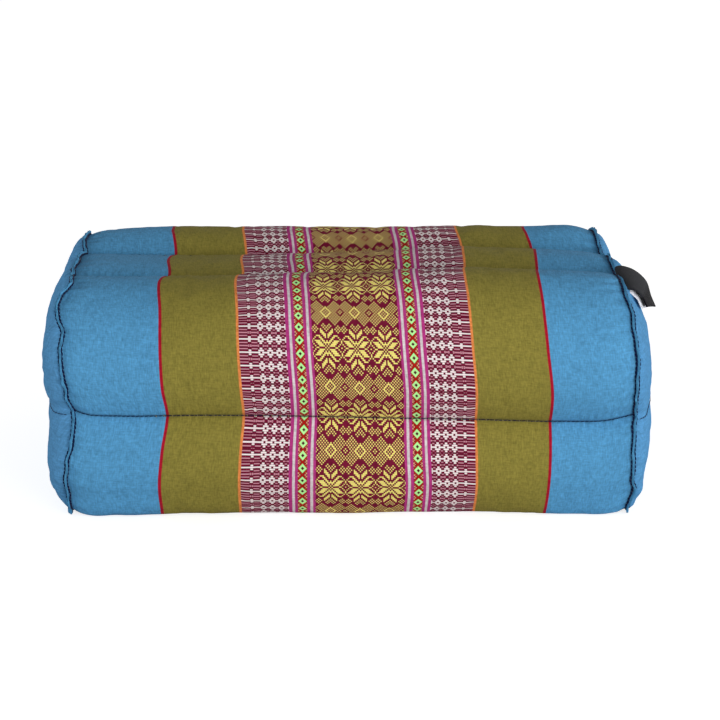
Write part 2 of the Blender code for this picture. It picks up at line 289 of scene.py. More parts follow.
def folds_along(places: Array, pitch: float, sway: float, reach: float, seed: int) -> Array:
    """Gathers a pitch apart that drift by a sway, in pitches, over a reach: from -1 to 1."""
    return np.cos(2.0 * math.pi * (places / pitch + sway * wander(places, reach, seed)))


def wander_over(across: Array, along: Array, wavelength: float, seed: int) -> Array:
    """Smooth random swells over a surface, between about -1 and 1.

    Args:
        across: one coordinate of each point, in metres.
        along: the other coordinate of each point, in metres.
        wavelength: distance between the random values, in metres.
        seed: picks the values.

    Returns:
        One value for each point.
    """
    columns, rows = across / wavelength, along / wavelength
    left, low = math.floor(columns.min()) - 1, math.floor(rows.min()) - 1
    size = (math.ceil(columns.max()) - left + 3, math.ceil(rows.max()) - low + 3)
    knots = np.random.default_rng(seed).uniform(-1.0, 1.0, size)
    i, j = np.floor(columns).astype(int) - left, np.floor(rows).astype(int) - low
    s, t = ease_in_out(columns - np.floor(columns)), ease_in_out(rows - np.floor(rows))
    near = knots[i, j] * (1.0 - s) + knots[i + 1, j] * s
    far = knots[i, j + 1] * (1.0 - s) + knots[i + 1, j + 1] * s
    return near * (1.0 - t) + far * t


@dataclass
class CushionForm:
    """The filled cushion's outer form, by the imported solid's own rules, read more finely."""

    half_length: float = 0.1527
    end_lean: float = 0.030
    floor_rounding: float = 2.5 * MM
    taper_reach: float = 0.0205
    taper_width: float = 0.020
    taper_top: float = 0.030
    taper_bottom: float = 0.050
    taper_power: float = 2.2
    draw_power: int = 12
    pinch_share: float = 0.16
    stations: int = 307
    seam_share: float = 1.0
    seam_sway: float = 0.45 * MM

    # Parts of the stations' spacing that close up towards the ends, and that stay even.
    SPACING = (0.55, 0.45)

    def soft_floor(self, height: Array) -> Array:
        """Keep heights at or above zero, with a rounded turn from flat to rising.

        Args:
            height: heights over the floor, some of them below it.

        Returns:
            The heights on or over the floor.
        """
        r = self.floor_rounding
        turned = (np.clip(height, -r, r) + r) ** 2 / (4.0 * r)
        return np.where(height >= r, height, turned)

    @staticmethod
    def arc(start: tuple, end: tuple, crown: float, steps: int) -> Array:
        """Points of a circular arc from start, without its end, crowned to the left.

        Args:
            start: first corner, (y, z).
            end: last corner, (y, z).
            crown: how far the arc stands off its chord.
            steps: how many points it has.

        Returns:
            The points, one (y, z) a row.
        """
        start, end = np.array(start), np.array(end)
        chord = np.linalg.norm(end - start)
        along = (end - start) / chord
        out = np.array((-along[1], along[0]))
        half_angle = 2.0 * math.atan(2.0 * crown / chord)
        radius = chord / (2.0 * math.sin(half_angle))
        centre = (start + end) / 2.0 - out * radius * math.cos(half_angle)
        angles = np.linspace(-half_angle, half_angle, steps, endpoint=False)[:, None]
        return centre + radius * (np.sin(angles) * along + np.cos(angles) * out)

    def taper_at(self, x: float) -> float:
        """0 along the middle, rising to 1 at an end seam."""
        reach = (abs(x) - (self.half_length - self.taper_reach)) / self.taper_reach
        return min(max(reach, 0.0), 1.0) ** self.taper_power

    def fit_section(self, points: Array, x: float) -> Array:
        """Set section points on the floor, and draw them in near an end seam.

        Args:
            points: (y, z) of each point.
            x: place of the section along the cushion.

        Returns:
            The points where the cushion's own section has them.
        """
        taper = self.taper_at(x)
        waist = CHANNELS[0].z
        share = np.where(points[:, 1] > waist, self.taper_top, self.taper_bottom)
        z = waist + (self.soft_floor(points[:, 1]) - waist) * (1.0 - share * taper)
        return np.stack((points[:, 0] * (1.0 - self.taper_width * taper), z), axis=1)

    def section(self, x: float) -> Array:
        """The wrap's outline at x, as (y, z) points clockwise from the front channel.

        Args:
            x: place of the section along the cushion.

        Returns:
            The outline, one (y, z) a row.
        """
        side, top, front, middle, back = read_smoothly(FILLING, np.array([x]))[0]
        rises = (side, top, top, side, 0.0, 0.0)
        crowns = (front, middle, back, 0.0, 0.0, 0.0)
        count = len(TUBES)
        corners = [(channel.y, channel.z + rise) for channel, rise in zip(CHANNELS, rises)]
        arcs = [self.arc(corners[i], corners[(i + 1) % count], tube.crown + crowns[i], tube.steps)
                for i, tube in enumerate(TUBES)]
        return self.fit_section(np.concatenate(arcs), x)

    def seam_draw(self, side: Side) -> Array:
        """How far an end seam is drawn in at each point of the outline.

        Args:
            side: which end.

        Returns:
            A distance for each point, in metres.
        """
        key = "draw_" + side.word
        pinches = [getattr(channel, key) for channel in CHANNELS]
        levels = [getattr(tube, key) for tube in TUBES]
        values = []
        for i, tube in enumerate(TUBES):
            after = (i + 1) % len(TUBES)
            share = np.arange(tube.steps) / tube.steps
            near, far = bell(share, self.pinch_share), bell(1.0 - share, self.pinch_share)
            level = levels[i] + 0.5 * near * (levels[i - 1] - levels[i])
            level = level + 0.5 * far * (levels[after] - levels[i])
            values.append(level + pinches[i] * near + pinches[after] * far)
        return np.concatenate(values)

    def outline_places(self) -> Array:
        """Places of the outline's points along the wrap, at mid length.

        Returns:
            A place for each point in mm from the front channel, below zero under it.
        """
        points = self.section(0.0)
        steps = np.linalg.norm(np.roll(points, -1, axis=0) - points, axis=1) / MM
        along = np.concatenate(([0.0], np.cumsum(steps)[:-1]))
        return np.where(along > WRAP_TURN, along - steps.sum(), along)

    def seam_run(self, side: Side) -> Array:
        """How far an end seam is drawn in beyond its plain run, as the photo shows it.

        Args:
            side: which end.

        Returns:
            A distance for each point of the outline, in metres.
        """
        places = self.outline_places()
        run = read_smoothly(SEAM_RUN, places)[:, 0 if side is Side.LEFT else 1] * MM * -side.value
        seed = 61 if side is Side.LEFT else 71
        sway = wander(places, 7.5, seed) + 0.5 * wander(places, 3.6, seed + 1)
        return run + self.seam_sway * sway

    def shares(self) -> Array:
        """Shares of the half length from -1 to 1, closer together towards the ends."""
        even = np.linspace(-1.0, 1.0, self.stations)
        return np.sin(even * math.pi / 2.0) * self.SPACING[0] + even * self.SPACING[1]

    def rings(self) -> Array:
        """The wrap's surface: for each station a ring of (x, y, z) points.

        Returns:
            Stations by ring points by (x, y, z).
        """
        draws = {side: self.seam_draw(side) + self.seam_share * self.seam_run(side) for side in Side}
        rings = []
        for share in self.shares():
            side = Side.RIGHT if share > 0 else Side.LEFT
            outline = self.section(share * self.half_length)
            pull = draws[side] * abs(share) ** self.draw_power
            x = share * (self.half_length - self.end_lean * outline[:, 0] - pull)
            rings.append(np.column_stack((x, outline)))
        return np.array(rings)


def tube_starts() -> list[int]:
    """The ring index at which each tube starts, and the ring's whole count last.

    Returns:
        One more number than there are tubes.
    """
    starts = [0]
    for tube in TUBES:
        starts.append(starts[-1] + tube.steps)
    return starts


def refine_loop(loop: Array, fineness: int) -> Array:
    """Put more points on a closed loop.

    Args:
        loop: its points, one a row.
        fineness: how many points each one becomes.

    Returns:
        The points, evenly between those given.
    """
    closed = np.concatenate((loop, loop[:1]))
    places, known = np.arange(len(loop) * fineness) / fineness, np.arange(len(closed))
    return np.stack([np.interp(places, known, column) for column in closed.T], axis=1)


def surface_normals(grid: Array, closed: bool) -> Array:
    """Unit normals of a grid of points, pointing out of the cushion.

    Args:
        grid: stations by ring points by (x, y, z).
        closed: whether each ring's last point is followed by its first.

    Returns:
        One unit normal for each point.
    """
    along = np.gradient(grid, axis=0)
    if closed:
        around = np.roll(grid, -1, axis=1) - np.roll(grid, 1, axis=1)
    else:
        around = np.gradient(grid, axis=1)
    normal = np.cross(along, around)
    return normal / np.maximum(np.linalg.norm(normal, axis=2, keepdims=True), 1e-12)


def link_mesh(name: str, points: Array, faces: list) -> Piece:
    """Make an object at the origin from points and faces, smooth and with its faces outward.

    Args:
        name: the object's name.
        points: one (x, y, z) a row.
        faces: vertex numbers of each face.

    Returns:
        The new object, in the scene.
    """
    mesh = bpy.data.meshes.new(name)
    mesh.from_pydata(np.asarray(points).tolist(), [], faces)
    mesh.update()
    work = bmesh.new()
    work.from_mesh(mesh)
    bmesh.ops.recalc_face_normals(work, faces=work.faces)
    work.to_mesh(mesh)
    work.free()
    mesh.shade_smooth()
    obj = bpy.data.objects.new(name, mesh)
    bpy.context.scene.collection.objects.link(obj)
    return obj


def add_map(obj: Piece, name: str, places: Array) -> None:
    """Give a mesh a UV map from one (u, v) for each of its vertices.

    Args:
        obj: the object.
        name: the map's name.
        places: one (u, v) a row.
    """
    layer = obj.data.uv_layers.new(name=name)
    corners = np.empty(len(obj.data.loops), dtype=np.int32)
    obj.data.loops.foreach_get("vertex_index", corners)
    layer.uv.foreach_set("vector", np.asarray(places, dtype=np.float32)[corners].ravel())


def grid_faces(rows: int, columns: int, first: int = 0) -> list[tuple[int, int, int, int]]:
    """Quads of a grid whose vertices are numbered row by row from first.

    Args:
        rows: rows of vertices.
        columns: vertices in each row.
        first: number of the first vertex.

    Returns:
        The faces, by vertex numbers.
    """
    faces = []
    for row in range(rows - 1):
        for column in range(columns - 1):
            corner = first + row * columns + column
            faces.append((corner, corner + columns, corner + columns + 1, corner + 1))
    return faces


def loop_faces(rows: int, around: int, closed: bool) -> list[tuple[int, int, int, int]]:
    """Quads of rows of points that each close into a loop.

    Args:
        rows: how many loops there are.
        around: points in each loop.
        closed: whether the last loop joins the first.

    Returns:
        The faces, by vertex numbers that run loop by loop.
    """
    faces = []
    for row in range(rows if closed else rows - 1):
        low, high = row * around, (row + 1) % rows * around
        for place in range(around):
            after = (place + 1) % around
            faces.append((low + place, high + place, high + after, low + after))
    return faces


def cap_faces(ring: int, first: int, around: int, rings: int) -> list[tuple]:
    """Faces from a ring of vertices through smaller rings to a last vertex.

    Args:
        ring: number of the ring's first vertex.
        first: number of the first vertex of the smaller rings.
        around: vertices in each ring.
        rings: how many smaller rings there are.

    Returns:
        The faces, by vertex numbers.
    """
    starts = [ring] + [first + step * around for step in range(rings + 1)]
    faces = []
    for low, high in zip(starts, starts[1:]):
        for place in range(around):
            after = (place + 1) % around
            if high == starts[-1]:
                faces.append((low + place, low + after, high))
            else:
                faces.append((low + place, low + after, high + after, high + place))
    return faces


def sheet_faces(rows: int, columns: int) -> list[tuple]:
    """Faces of a closed sheet: a grid of its outer face, then one of its inner face, and a rim.

    Args:
        rows: rows of each grid.
        columns: vertices in each row.

    Returns:
        The faces, by vertex numbers that run over the outer grid and then the inner one.
    """
    count = rows * columns
    faces = grid_faces(rows, columns) + grid_faces(rows, columns, count)
    edge = list(range(columns)) + [i * columns + columns - 1 for i in range(1, rows)]
    edge += [(rows - 1) * columns + j for j in range(columns - 2, -1, -1)]
    edge += [i * columns for i in range(rows - 2, 0, -1)]
    for place, corner in enumerate(edge):
        after = edge[(place + 1) % len(edge)]
        faces.append((corner, after, after + count, corner + count))
    return faces


def fit_piece(obj: Piece, dress: Material, node: str) -> None:
    """Give a piece its material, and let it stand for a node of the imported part.

    Args:
        obj: the finished piece.
        dress: its material.
        node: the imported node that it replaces.
    """
    obj.data.materials.append(dress)
    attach(obj, BODY)
    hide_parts(node)


class NodeSheet:
    """A node tree with short calls for making nodes and joining them."""

    def __init__(self, tree: bpy.types.NodeTree) -> None:
        """Work on an empty or existing tree."""
        self.tree = tree

    def put(self, target: Socket, value: Feed) -> None:
        """Join a socket to an input, or set the input's own value.

        Args:
            target: the input.
            value: a node's output, or a plain value.
        """
        if isinstance(value, Socket):
            self.tree.links.new(value, target)
        else:
            target.default_value = value

    def node(self, kind: str, settings: dict | None = None, **inputs: Feed) -> bpy.types.Node:
        """Make a node, set its settings, and fill its inputs by name.

        Args:
            kind: the node's type.
            settings: the node's own settings.
            inputs: a socket or a value for each input, with underscores for blanks.

        Returns:
            The new node.
        """
        node = self.tree.nodes.new(kind)
        for key, value in (settings or {}).items():
            setattr(node, key, value)
        for key, value in inputs.items():
            self.put(node.inputs[key.replace("_", " ")], value)
        return node

    def maths(self, operation: str, *values: Feed, clamp: bool = False) -> Socket:
        """One step of arithmetic on sockets or numbers.

        Args:
            operation: the sum to do.
            values: what it works on, in order.
            clamp: whether the result is kept from 0 to 1.

        Returns:
            The result's socket.
        """
        node = self.node("ShaderNodeMath", {"operation": operation, "use_clamp": clamp})
        for index, value in enumerate(values):
            self.put(node.inputs[index], value)
        return node.outputs[0]

    def add(self, *values: Feed) -> Socket:
        """The sum of sockets or numbers."""
        return reduce(lambda total, value: self.maths("ADD", total, value), values)

    def times(self, *values: Feed) -> Socket:
        """The product of sockets or numbers."""
        return reduce(lambda product, value: self.maths("MULTIPLY", product, value), values)

    def apart(self, first: Feed, second: Feed) -> Socket:
        """How far two values lie apart."""
        return self.maths("ABSOLUTE", self.maths("SUBTRACT", first, second))

    def under(self, value: Feed, edge: Feed) -> Socket:
        """1 where a value is under an edge."""
        return self.maths("LESS_THAN", value, edge)

    def both(self, *masks: Feed) -> Socket:
        """1 where every mask is 1."""
        return self.times(*masks)

    def inverse(self, mask: Feed) -> Socket:
        """1 where the mask is 0."""
        return self.maths("SUBTRACT", 1.0, mask)

    def over(self, value: Feed, edge: float, soft: float = 0.0) -> Socket:
        """1 where a value is over an edge, with a soft step of that width.

        Args:
            value: what is tested.
            edge: the edge.
            soft: width of the step, or 0 for a sharp one.

        Returns:
            The mask's socket.
        """
        if soft <= 0.0:
            return self.maths("GREATER_THAN", value, edge)
        return self.maths("MULTIPLY_ADD", value, 1.0 / soft, 0.5 - edge / soft, clamp=True)

    def mix(self, mask: Feed, first: Feed, second: Feed) -> Socket:
        """Two colours mixed by a mask: the first where it is 0, the second where it is 1.

        Args:
            mask: the mask.
            first: colour where it is 0.
            second: colour where it is 1.

        Returns:
            The mixed colour's socket.
        """
        node = self.node("ShaderNodeMix", {"data_type": "RGBA"})
        self.put(node.inputs["Factor"], mask)
        for name, value in (("A", first), ("B", second)):
            target = next(s for s in node.inputs if s.name == name and s.type == "RGBA")
            self.put(target, value)
        return next(s for s in node.outputs if s.type == "RGBA")

    def brighten(self, colour: Feed, factor: Feed) -> Socket:
        """A colour made lighter or darker by a factor.

        Args:
            colour: the colour.
            factor: what it is multiplied by.

        Returns:
            The new colour's socket.
        """
        node = self.node("ShaderNodeMix", {"data_type": "RGBA", "blend_type": "MULTIPLY"})
        self.put(node.inputs["Factor"], 1.0)
        targets = [s for s in node.inputs if s.type == "RGBA"]
        self.put(targets[0], colour)
        grey = self.node("ShaderNodeCombineColor")
        for name in ("Red", "Green", "Blue"):
            self.put(grey.inputs[name], factor)
        self.put(targets[1], grey.outputs[0])
        return next(s for s in node.outputs if s.type == "RGBA")

    def chart(self, place: Feed, codes: list[float]) -> Socket:
        """Look up one of a row of numbers, each under 1, by a place from 0 to 1.

        Args:
            place: where in the row.
            codes: the numbers, evenly spaced from 0 to 1.

        Returns:
            The socket of the number found.
        """
        node = self.node("ShaderNodeValToRGB", Fac=place)
        ramp = node.color_ramp
        ramp.interpolation = "CONSTANT"
        while len(ramp.elements) > 1:
            ramp.elements.remove(ramp.elements[-1])
        for index, code in enumerate(codes):
            start = index / len(codes)
            element = ramp.elements[0] if index == 0 else ramp.elements.new(start)
            element.position = start
            element.color = (code, code, code, code)
        return node.outputs["Alpha"]

    def noise(self, vector: Feed, scale: float, detail: float, rough: float) -> Socket:
        """Smooth noise around 0.5 at a scale."""
        return self.node("ShaderNodeTexNoise", Vector=vector, Scale=scale, Detail=detail,
                         Roughness=rough).outputs["Fac"]


@dataclass
class ShaderTool:
    """A shader node group, built once and placed in each material that uses it."""

    name: str
    inputs: dict[str, float | tuple]
    outputs: tuple[str, ...]
    tree: bpy.types.NodeTree | None = None

    def open(self) -> tuple[NodeSheet, bpy.types.Node, bpy.types.Node]:
        """Start the group with its named sockets.

        Returns:
            The sheet to draw on, the group's input node and its output node.
        """
        self.tree = bpy.data.node_groups.new(self.name, "ShaderNodeTree")
        for name, value in self.inputs.items():
            kind = "NodeSocketVector" if isinstance(value, tuple) else "NodeSocketFloat"
            socket = self.tree.interface.new_socket(name, in_out="INPUT", socket_type=kind)
            socket.default_value = value
        for name in self.outputs:
            self.tree.interface.new_socket(name, in_out="OUTPUT", socket_type="NodeSocketFloat")
        sheet = NodeSheet(self.tree)
        return sheet, sheet.node("NodeGroupInput"), sheet.node("NodeGroupOutput")

    def place(self, sheet: NodeSheet, **values: Feed) -> bpy.types.Node:
        """Put the group into a tree, with its inputs filled by name.

        Args:
            sheet: the tree that it goes into.
            values: a socket or a value for each input, with underscores for blanks.

        Returns:
            The group's node.
        """
        node = sheet.node("ShaderNodeGroup", {"node_tree": self.tree})
        for key, value in values.items():
            sheet.put(node.inputs[key.replace("_", " ")], value)
        return node


class ClothTools:
    """The shader groups that the cushion's cloths share."""

    # The gold flower-and-lattice motif: rows up from a flower's centre, columns out from it.
    GOLD_ROWS = (
        ".X....XX..X", "X.XXXX..X..", ".X.XXXX..X.", "XXX.XXXX..X", "X.XX.XXXX.X", "...XX....X.",
        ".X..XX..X..", ".XX..XXX...", ".XXX.......", "..XXX...X..", "X..XX..X.X.", ".X..X.X.X.X",
        "X.X....X.X.", ".X.X....X..", "..X...X....", ".....X.X...", "....X.X.X..", "...X.X.X.X.",
        "X.X.X.X.X.X", "XX.X.X.X.X.", ".XX.X.X.X..", "X.XX.X.X..X", ".X.XX.X..X.",
    )
    # The white band, by rows away from the middle of a rosette: half the width of its white.
    ROSETTE_WIDTHS = (9.9, 1.9, 0.85, 0.0)
    ROSETTE_PITCH = 6.1
    ROSETTE_START = 5.0
    BAR_PLACE = 24.8
    LAST_ROSETTE = 20.3
    # Pink picks between two rows of rosettes, by rows away from a rosette's middle.
    PINK_LINES = (1.75, 3.25)
    PINK_HALF = 0.26
    # The dark eye of a rosette: half its width and half its height.
    EYE = (0.7, 0.5)
    # Where pink picks start beside a rosette, and the first row, place and half width of pink spots.
    PINK_START = 2.35
    PINK_SPOTS = (2.5, 1.7, 0.5)
    # Picks of that band to each pick of the gold one, and the places of its rows in one repeat.
    WHITE_PICK_SHARE = 38.0 / 44.0
    ROSETTE_REPEAT = 19.0
    ROSETTE_ROWS = (3.3, 9.93, 16.15)
    BETWEEN_ROWS = (0.0, 6.6, 13.05, 19.0)
    # The green diamonds: columns that one row is worth, then edges by columns from the middle.
    DIAMOND_SLOPE = 1.38
    DIAMOND_EDGES = (1.25, 3.35)
    BORDER_EDGES = (3.2, 4.3)
    # The crosses between them: their slope, half width and inner edge; and the dots beside both.
    CROSS = (1.3, 0.6, 3.6)
    DOTS = (1.2, 4.1, 1.6)
    SOFT_EDGE = 0.3
    # The gold chart is mirrored after so many columns and rows.
    GOLD_MIRROR = (10.0, 22.0)
    # Yarn streaks: how fast they change by ends and by picks.
    STREAKS = ((1.4, 0.22), (0.25, 1.3), (0.9, 0.36))

    def __init__(self) -> None:
        """Build every group."""
        self.weave = self.build_weave()
        self.slub = self.build_slub()
        self.gold = self.build_gold()
        self.rows = self.build_rows()
        self.white = self.build_white()
        self.green = self.build_green()

    @staticmethod
    def build_weave() -> ShaderTool:
        """Plain weave: ends and picks that pass over and under each other.

        Returns:
            The finished group.
        """
        tool = ShaderTool("plain_weave", {"Ends": 0.0, "Picks": 0.0}, ("Height", "Tone"))
        sheet, given, made = tool.open()
        ends, picks = given.outputs["Ends"], given.outputs["Picks"]
        end_round = sheet.maths("ABSOLUTE", sheet.maths("SINE", sheet.times(ends, math.pi)))
        pick_round = sheet.maths("ABSOLUTE", sheet.maths("SINE", sheet.times(picks, math.pi)))
        parity = sheet.add(sheet.maths("FLOOR", ends), sheet.maths("FLOOR", picks))
        odd = sheet.maths("MODULO", sheet.maths("ABSOLUTE", parity), 2.0)
        warp = sheet.both(odd, end_round)
        weft = sheet.both(sheet.inverse(odd), pick_round)
        height = sheet.maths("MAXIMUM", warp, weft)
        sheet.put(made.inputs["Height"], height)
        # Tone is lighter on the raised threads: a painted highlight, which no material reads.
        sheet.put(made.inputs["Tone"], sheet.maths("MULTIPLY_ADD", height, 0.3, 0.8))
        return tool

    def build_slub(self) -> ShaderTool:
        """Uneven handloom yarn: short streaks along the ends and along the picks.

        Returns:
            The finished group.
        """
        tool = ShaderTool("slub", {"Ends": 0.0, "Picks": 0.0, "Strength": 0.2}, ("Tone",))
        sheet, given, made = tool.open()
        streaks = []
        for shift, (across, along) in enumerate(self.STREAKS):
            place = sheet.node("ShaderNodeCombineXYZ", X=sheet.times(given.outputs["Ends"], across),
                               Y=sheet.times(given.outputs["Picks"], along), Z=7.3 * shift)
            streaks.append(sheet.noise(place.outputs[0], 1.0, 1.0, 0.6))
        total = sheet.maths("SUBTRACT", sheet.add(*streaks), 1.5)
        tone = sheet.maths("MULTIPLY_ADD", total, given.outputs["Strength"], 1.0)
        sheet.put(made.inputs["Tone"], tone)
        return tool

    def build_gold(self) -> ShaderTool:
        """Gold floats of the flower band.

        Returns:
            The finished group.
        """
        tool = ShaderTool("gold_flowers", {"Ends": 0.0, "Picks": 0.0}, ("Float",))
        sheet, given, made = tool.open()
        codes = []
        for text in self.GOLD_ROWS:
            bits = sum(2 ** -(index + 1) for index, mark in enumerate(text) if mark == "X")
            codes.append(bits + 2 ** -12)

        def is_gold(column: Feed, row: Feed) -> Socket:
            """Read the chart.

            Args:
                column: columns out from a flower's centre.
                row: rows up from it.

            Returns:
                1 where there is gold.
            """
            place = sheet.maths("DIVIDE", sheet.add(row, 0.5), float(len(codes)))
            digit = sheet.times(sheet.chart(place, codes), sheet.maths("POWER", 2.0, column))
            return sheet.over(sheet.maths("FRACT", digit), 0.4999)

        across, upward = (sheet.maths("PINGPONG", given.outputs[name], repeat)
                          for name, repeat in zip(("Ends", "Picks"), self.GOLD_MIRROR))
        column, beside, off_column = self.cell(sheet, across, self.GOLD_MIRROR[0])
        row, above, off_row = self.cell(sheet, upward, self.GOLD_MIRROR[1])
        body = sheet.both(self.float_body(sheet, off_row, 0.30, 1.0, is_gold(column, above)),
                          self.float_body(sheet, off_column, 0.36, 0.9, is_gold(beside, row)))
        sheet.put(made.inputs["Float"], sheet.both(is_gold(column, row), body))
        return tool

    @staticmethod
    def cell(sheet: NodeSheet, place: Feed, repeat: float) -> tuple:
        """The cell that a place is in, the next cell on that side, and how far off centre it is.

        Args:
            sheet: the tree to draw in.
            place: the place, in cells.
            repeat: cells after which the chart is mirrored.

        Returns:
            The three sockets.
        """
        whole = sheet.maths("FLOOR", sheet.add(place, 0.5))
        off = sheet.maths("SUBTRACT", place, whole)
        after = sheet.add(whole, sheet.maths("SIGN", off))
        return whole, sheet.maths("PINGPONG", after, repeat), off

    @staticmethod
    def float_body(sheet: NodeSheet, off: Feed, half: float, gap: float, joined: Feed,
                   bridge: float = 0.2) -> Socket:
        """1 along the middle of a float, falling at its side unless the next cell joins it.

        Args:
            sheet: the tree to draw in.
            off: how far off its middle a place is, in cells.
            half: half the width of its full part.
            gap: how far it falls beside an empty cell.
            joined: 1 where the next cell is a float too.
            bridge: how far it falls beside such a cell.

        Returns:
            The mask's socket.
        """
        past = sheet.maths("SUBTRACT", sheet.maths("ABSOLUTE", off), half)
        edge = sheet.maths("MULTIPLY", past, 9.0, clamp=True)
        depth = sheet.maths("MULTIPLY_ADD", joined, bridge - gap, gap)
        return sheet.maths("SUBTRACT", 1.0, sheet.times(edge, depth))

    def build_rows(self) -> ShaderTool:
        """Distances from the nearest row of rosettes, and from the nearest place between two.

        Returns:
            The finished group.
        """
        tool = ShaderTool("rosette_rows", {"Picks": 0.0}, ("Away", "Between"))
        sheet, given, made = tool.open()
        picks = sheet.times(given.outputs["Picks"], self.WHITE_PICK_SHARE)
        place = sheet.maths("PINGPONG", picks, self.ROSETTE_REPEAT)
        for name, rows in (("Away", self.ROSETTE_ROWS), ("Between", self.BETWEEN_ROWS)):
            nearest = reduce(lambda first, second: sheet.maths("MINIMUM", first, second),
                             [sheet.apart(place, row) for row in rows])
            sheet.put(made.inputs[name], nearest)
        return tool

    def build_white(self) -> ShaderTool:
        """White and pink floats of the rosette bands, and painted shade that darkens the ground between
        picks.

        Returns:
            The finished group.
        """
        tool = ShaderTool("white_rosettes", {"Column": 0.0, "Away": 0.0},
                          ("White", "Pink", "Furrow"))
        sheet, given, made = tool.open()
        column, away = given.outputs["Column"], given.outputs["Away"]
        half = self.ROSETTE_PITCH / 2.0
        from_start = sheet.maths("SUBTRACT", column, self.ROSETTE_START)
        rosette = sheet.maths("ABSOLUTE", sheet.maths("WRAP", from_start, half, -half))
        bar = sheet.add(sheet.apart(column, self.BAR_PLACE), 1.0)
        inner = sheet.under(column, self.LAST_ROSETTE)
        out = sheet.add(sheet.both(rosette, inner), sheet.both(bar, sheet.inverse(inner)))
        rows = float(len(self.ROSETTE_WIDTHS))

        def white_at(row: Feed) -> Socket:
            """Tell the white floats of a row.

            Args:
                row: rows away from the middle of a rosette.

            Returns:
                1 where the row is white.
            """
            level = sheet.maths("DIVIDE", sheet.add(sheet.maths("MINIMUM", row, rows - 1.0), 0.5), rows)
            width = sheet.chart(level, [width / 10.0 for width in self.ROSETTE_WIDTHS])
            return sheet.under(out, sheet.times(width, 10.0))

        row, above, off = self.cell(sheet, away, 30.0)
        eye = sheet.both(*(sheet.under(*pair) for pair in zip((out, row), self.EYE)))
        white = sheet.both(white_at(row), sheet.inverse(eye))
        gaps = [sheet.apart(away, place) for place in self.PINK_LINES]
        clear = sheet.over(sheet.maths("MINIMUM", *gaps), self.PINK_HALF, 0.2)
        line = sheet.both(sheet.inverse(clear), sheet.over(out, self.PINK_START))
        first_row, place, width = self.PINK_SPOTS
        spot = sheet.both(sheet.over(row, first_row), sheet.maths("COMPARE", out, place, width))
        spot = sheet.both(spot, self.float_body(sheet, off, 0.2, 1.0, 0.0))
        pink = sheet.both(sheet.maths("MAXIMUM", line, spot), sheet.inverse(white))
        body = self.float_body(sheet, off, 0.32, 1.0, white_at(above), 0.5)
        # Painted shade: the ground is darkened in the furrows between the rows of floats.
        furrow = sheet.maths("MULTIPLY_ADD", sheet.maths("ABSOLUTE", off), 5.0, -1.2, clamp=True)
        for name, mask in (("White", sheet.both(white, body)), ("Pink", pink), ("Furrow", furrow)):
            sheet.put(made.inputs[name], mask)
        return tool

    def build_green(self) -> ShaderTool:
        """Green diamonds with red crosses between them.

        Returns:
            The finished group.
        """
        tool = ShaderTool("green_diamonds", {"Column": 0.0, "Away": 0.0, "Between": 0.0},
                          ("Green", "Dark", "Cross", "Dots"))
        sheet, given, made = tool.open()
        away, between = given.outputs["Away"], given.outputs["Between"]
        out = sheet.maths("ABSOLUTE", given.outputs["Column"])
        column = sheet.maths("FLOOR", sheet.add(out, 0.5))
        reach = sheet.maths("MULTIPLY_ADD", away, self.DIAMOND_SLOPE, out)

        def past(value: Feed, edge: float) -> Socket:
            """1 past an edge, with a soft step."""
            return sheet.over(value, edge, self.SOFT_EDGE)

        eye_edge, ring_edge = self.DIAMOND_EDGES
        ring = sheet.both(sheet.inverse(past(reach, ring_edge)), past(reach, eye_edge))
        border = sheet.both(sheet.over(reach, self.BORDER_EDGES[0]),
                            sheet.inverse(past(reach, self.BORDER_EDGES[1])))
        dark = sheet.maths("MAXIMUM", sheet.inverse(past(reach, eye_edge)), border)
        slope, half, inner = self.CROSS
        gap = sheet.apart(out, sheet.times(between, slope))
        cross = sheet.both(sheet.inverse(past(gap, half)), past(reach, inner))
        slope, inner, side = self.DOTS
        parity = sheet.add(column, sheet.maths("FLOOR", sheet.add(sheet.times(away, slope), 0.5)))
        dots = sheet.under(sheet.maths("MODULO", parity, 2.0), 0.5)
        dots = sheet.both(dots, past(reach, inner), sheet.inverse(cross), sheet.over(out, side))
        for name, mask in (("Green", ring), ("Dark", dark), ("Cross", cross), ("Dots", dots)):
            sheet.put(made.inputs[name], mask)
        return tool


def cloth_material(name: str, sheen: float, sheen_rough: float) -> tuple:
    """Start a matt cloth material.

    Args:
        name: the material's name.
        sheen: weight of the soft bloom at grazing angles.
        sheen_rough: how wide that bloom is.

    Returns:
        The material, its node sheet and its shader.
    """
    material = bpy.data.materials.new(name)
    material.use_nodes = True
    sheet = NodeSheet(material.node_tree)
    shader = material.node_tree.nodes["Principled BSDF"]
    shader.inputs["Roughness"].default_value = 0.85
    shader.inputs["Specular IOR Level"].default_value = 0.06
    shader.inputs["Sheen Weight"].default_value = sheen
    shader.inputs["Sheen Roughness"].default_value = sheen_rough
    return material, sheet, shader


def cloth_cells(sheet: NodeSheet) -> tuple:
    """Ends and picks of a place, from the piece's own cloth map."""
    place = sheet.node("ShaderNodeUVMap", {"uv_map": CLOTH_MAP})
    return tuple(sheet.node("ShaderNodeSeparateXYZ", Vector=place.outputs[0]).outputs[:2])


def weave_relief(sheet: NodeSheet, tools: ClothTools, cells: tuple, fineness: float,
                 depth: float) -> Socket:
    """Height of the plain weave, by threads to a cell and a thread's depth in metres."""
    ends, picks = (sheet.times(cell, fineness) for cell in cells)
    return sheet.times(tools.weave.place(sheet, Ends=ends, Picks=picks).outputs["Height"], depth)


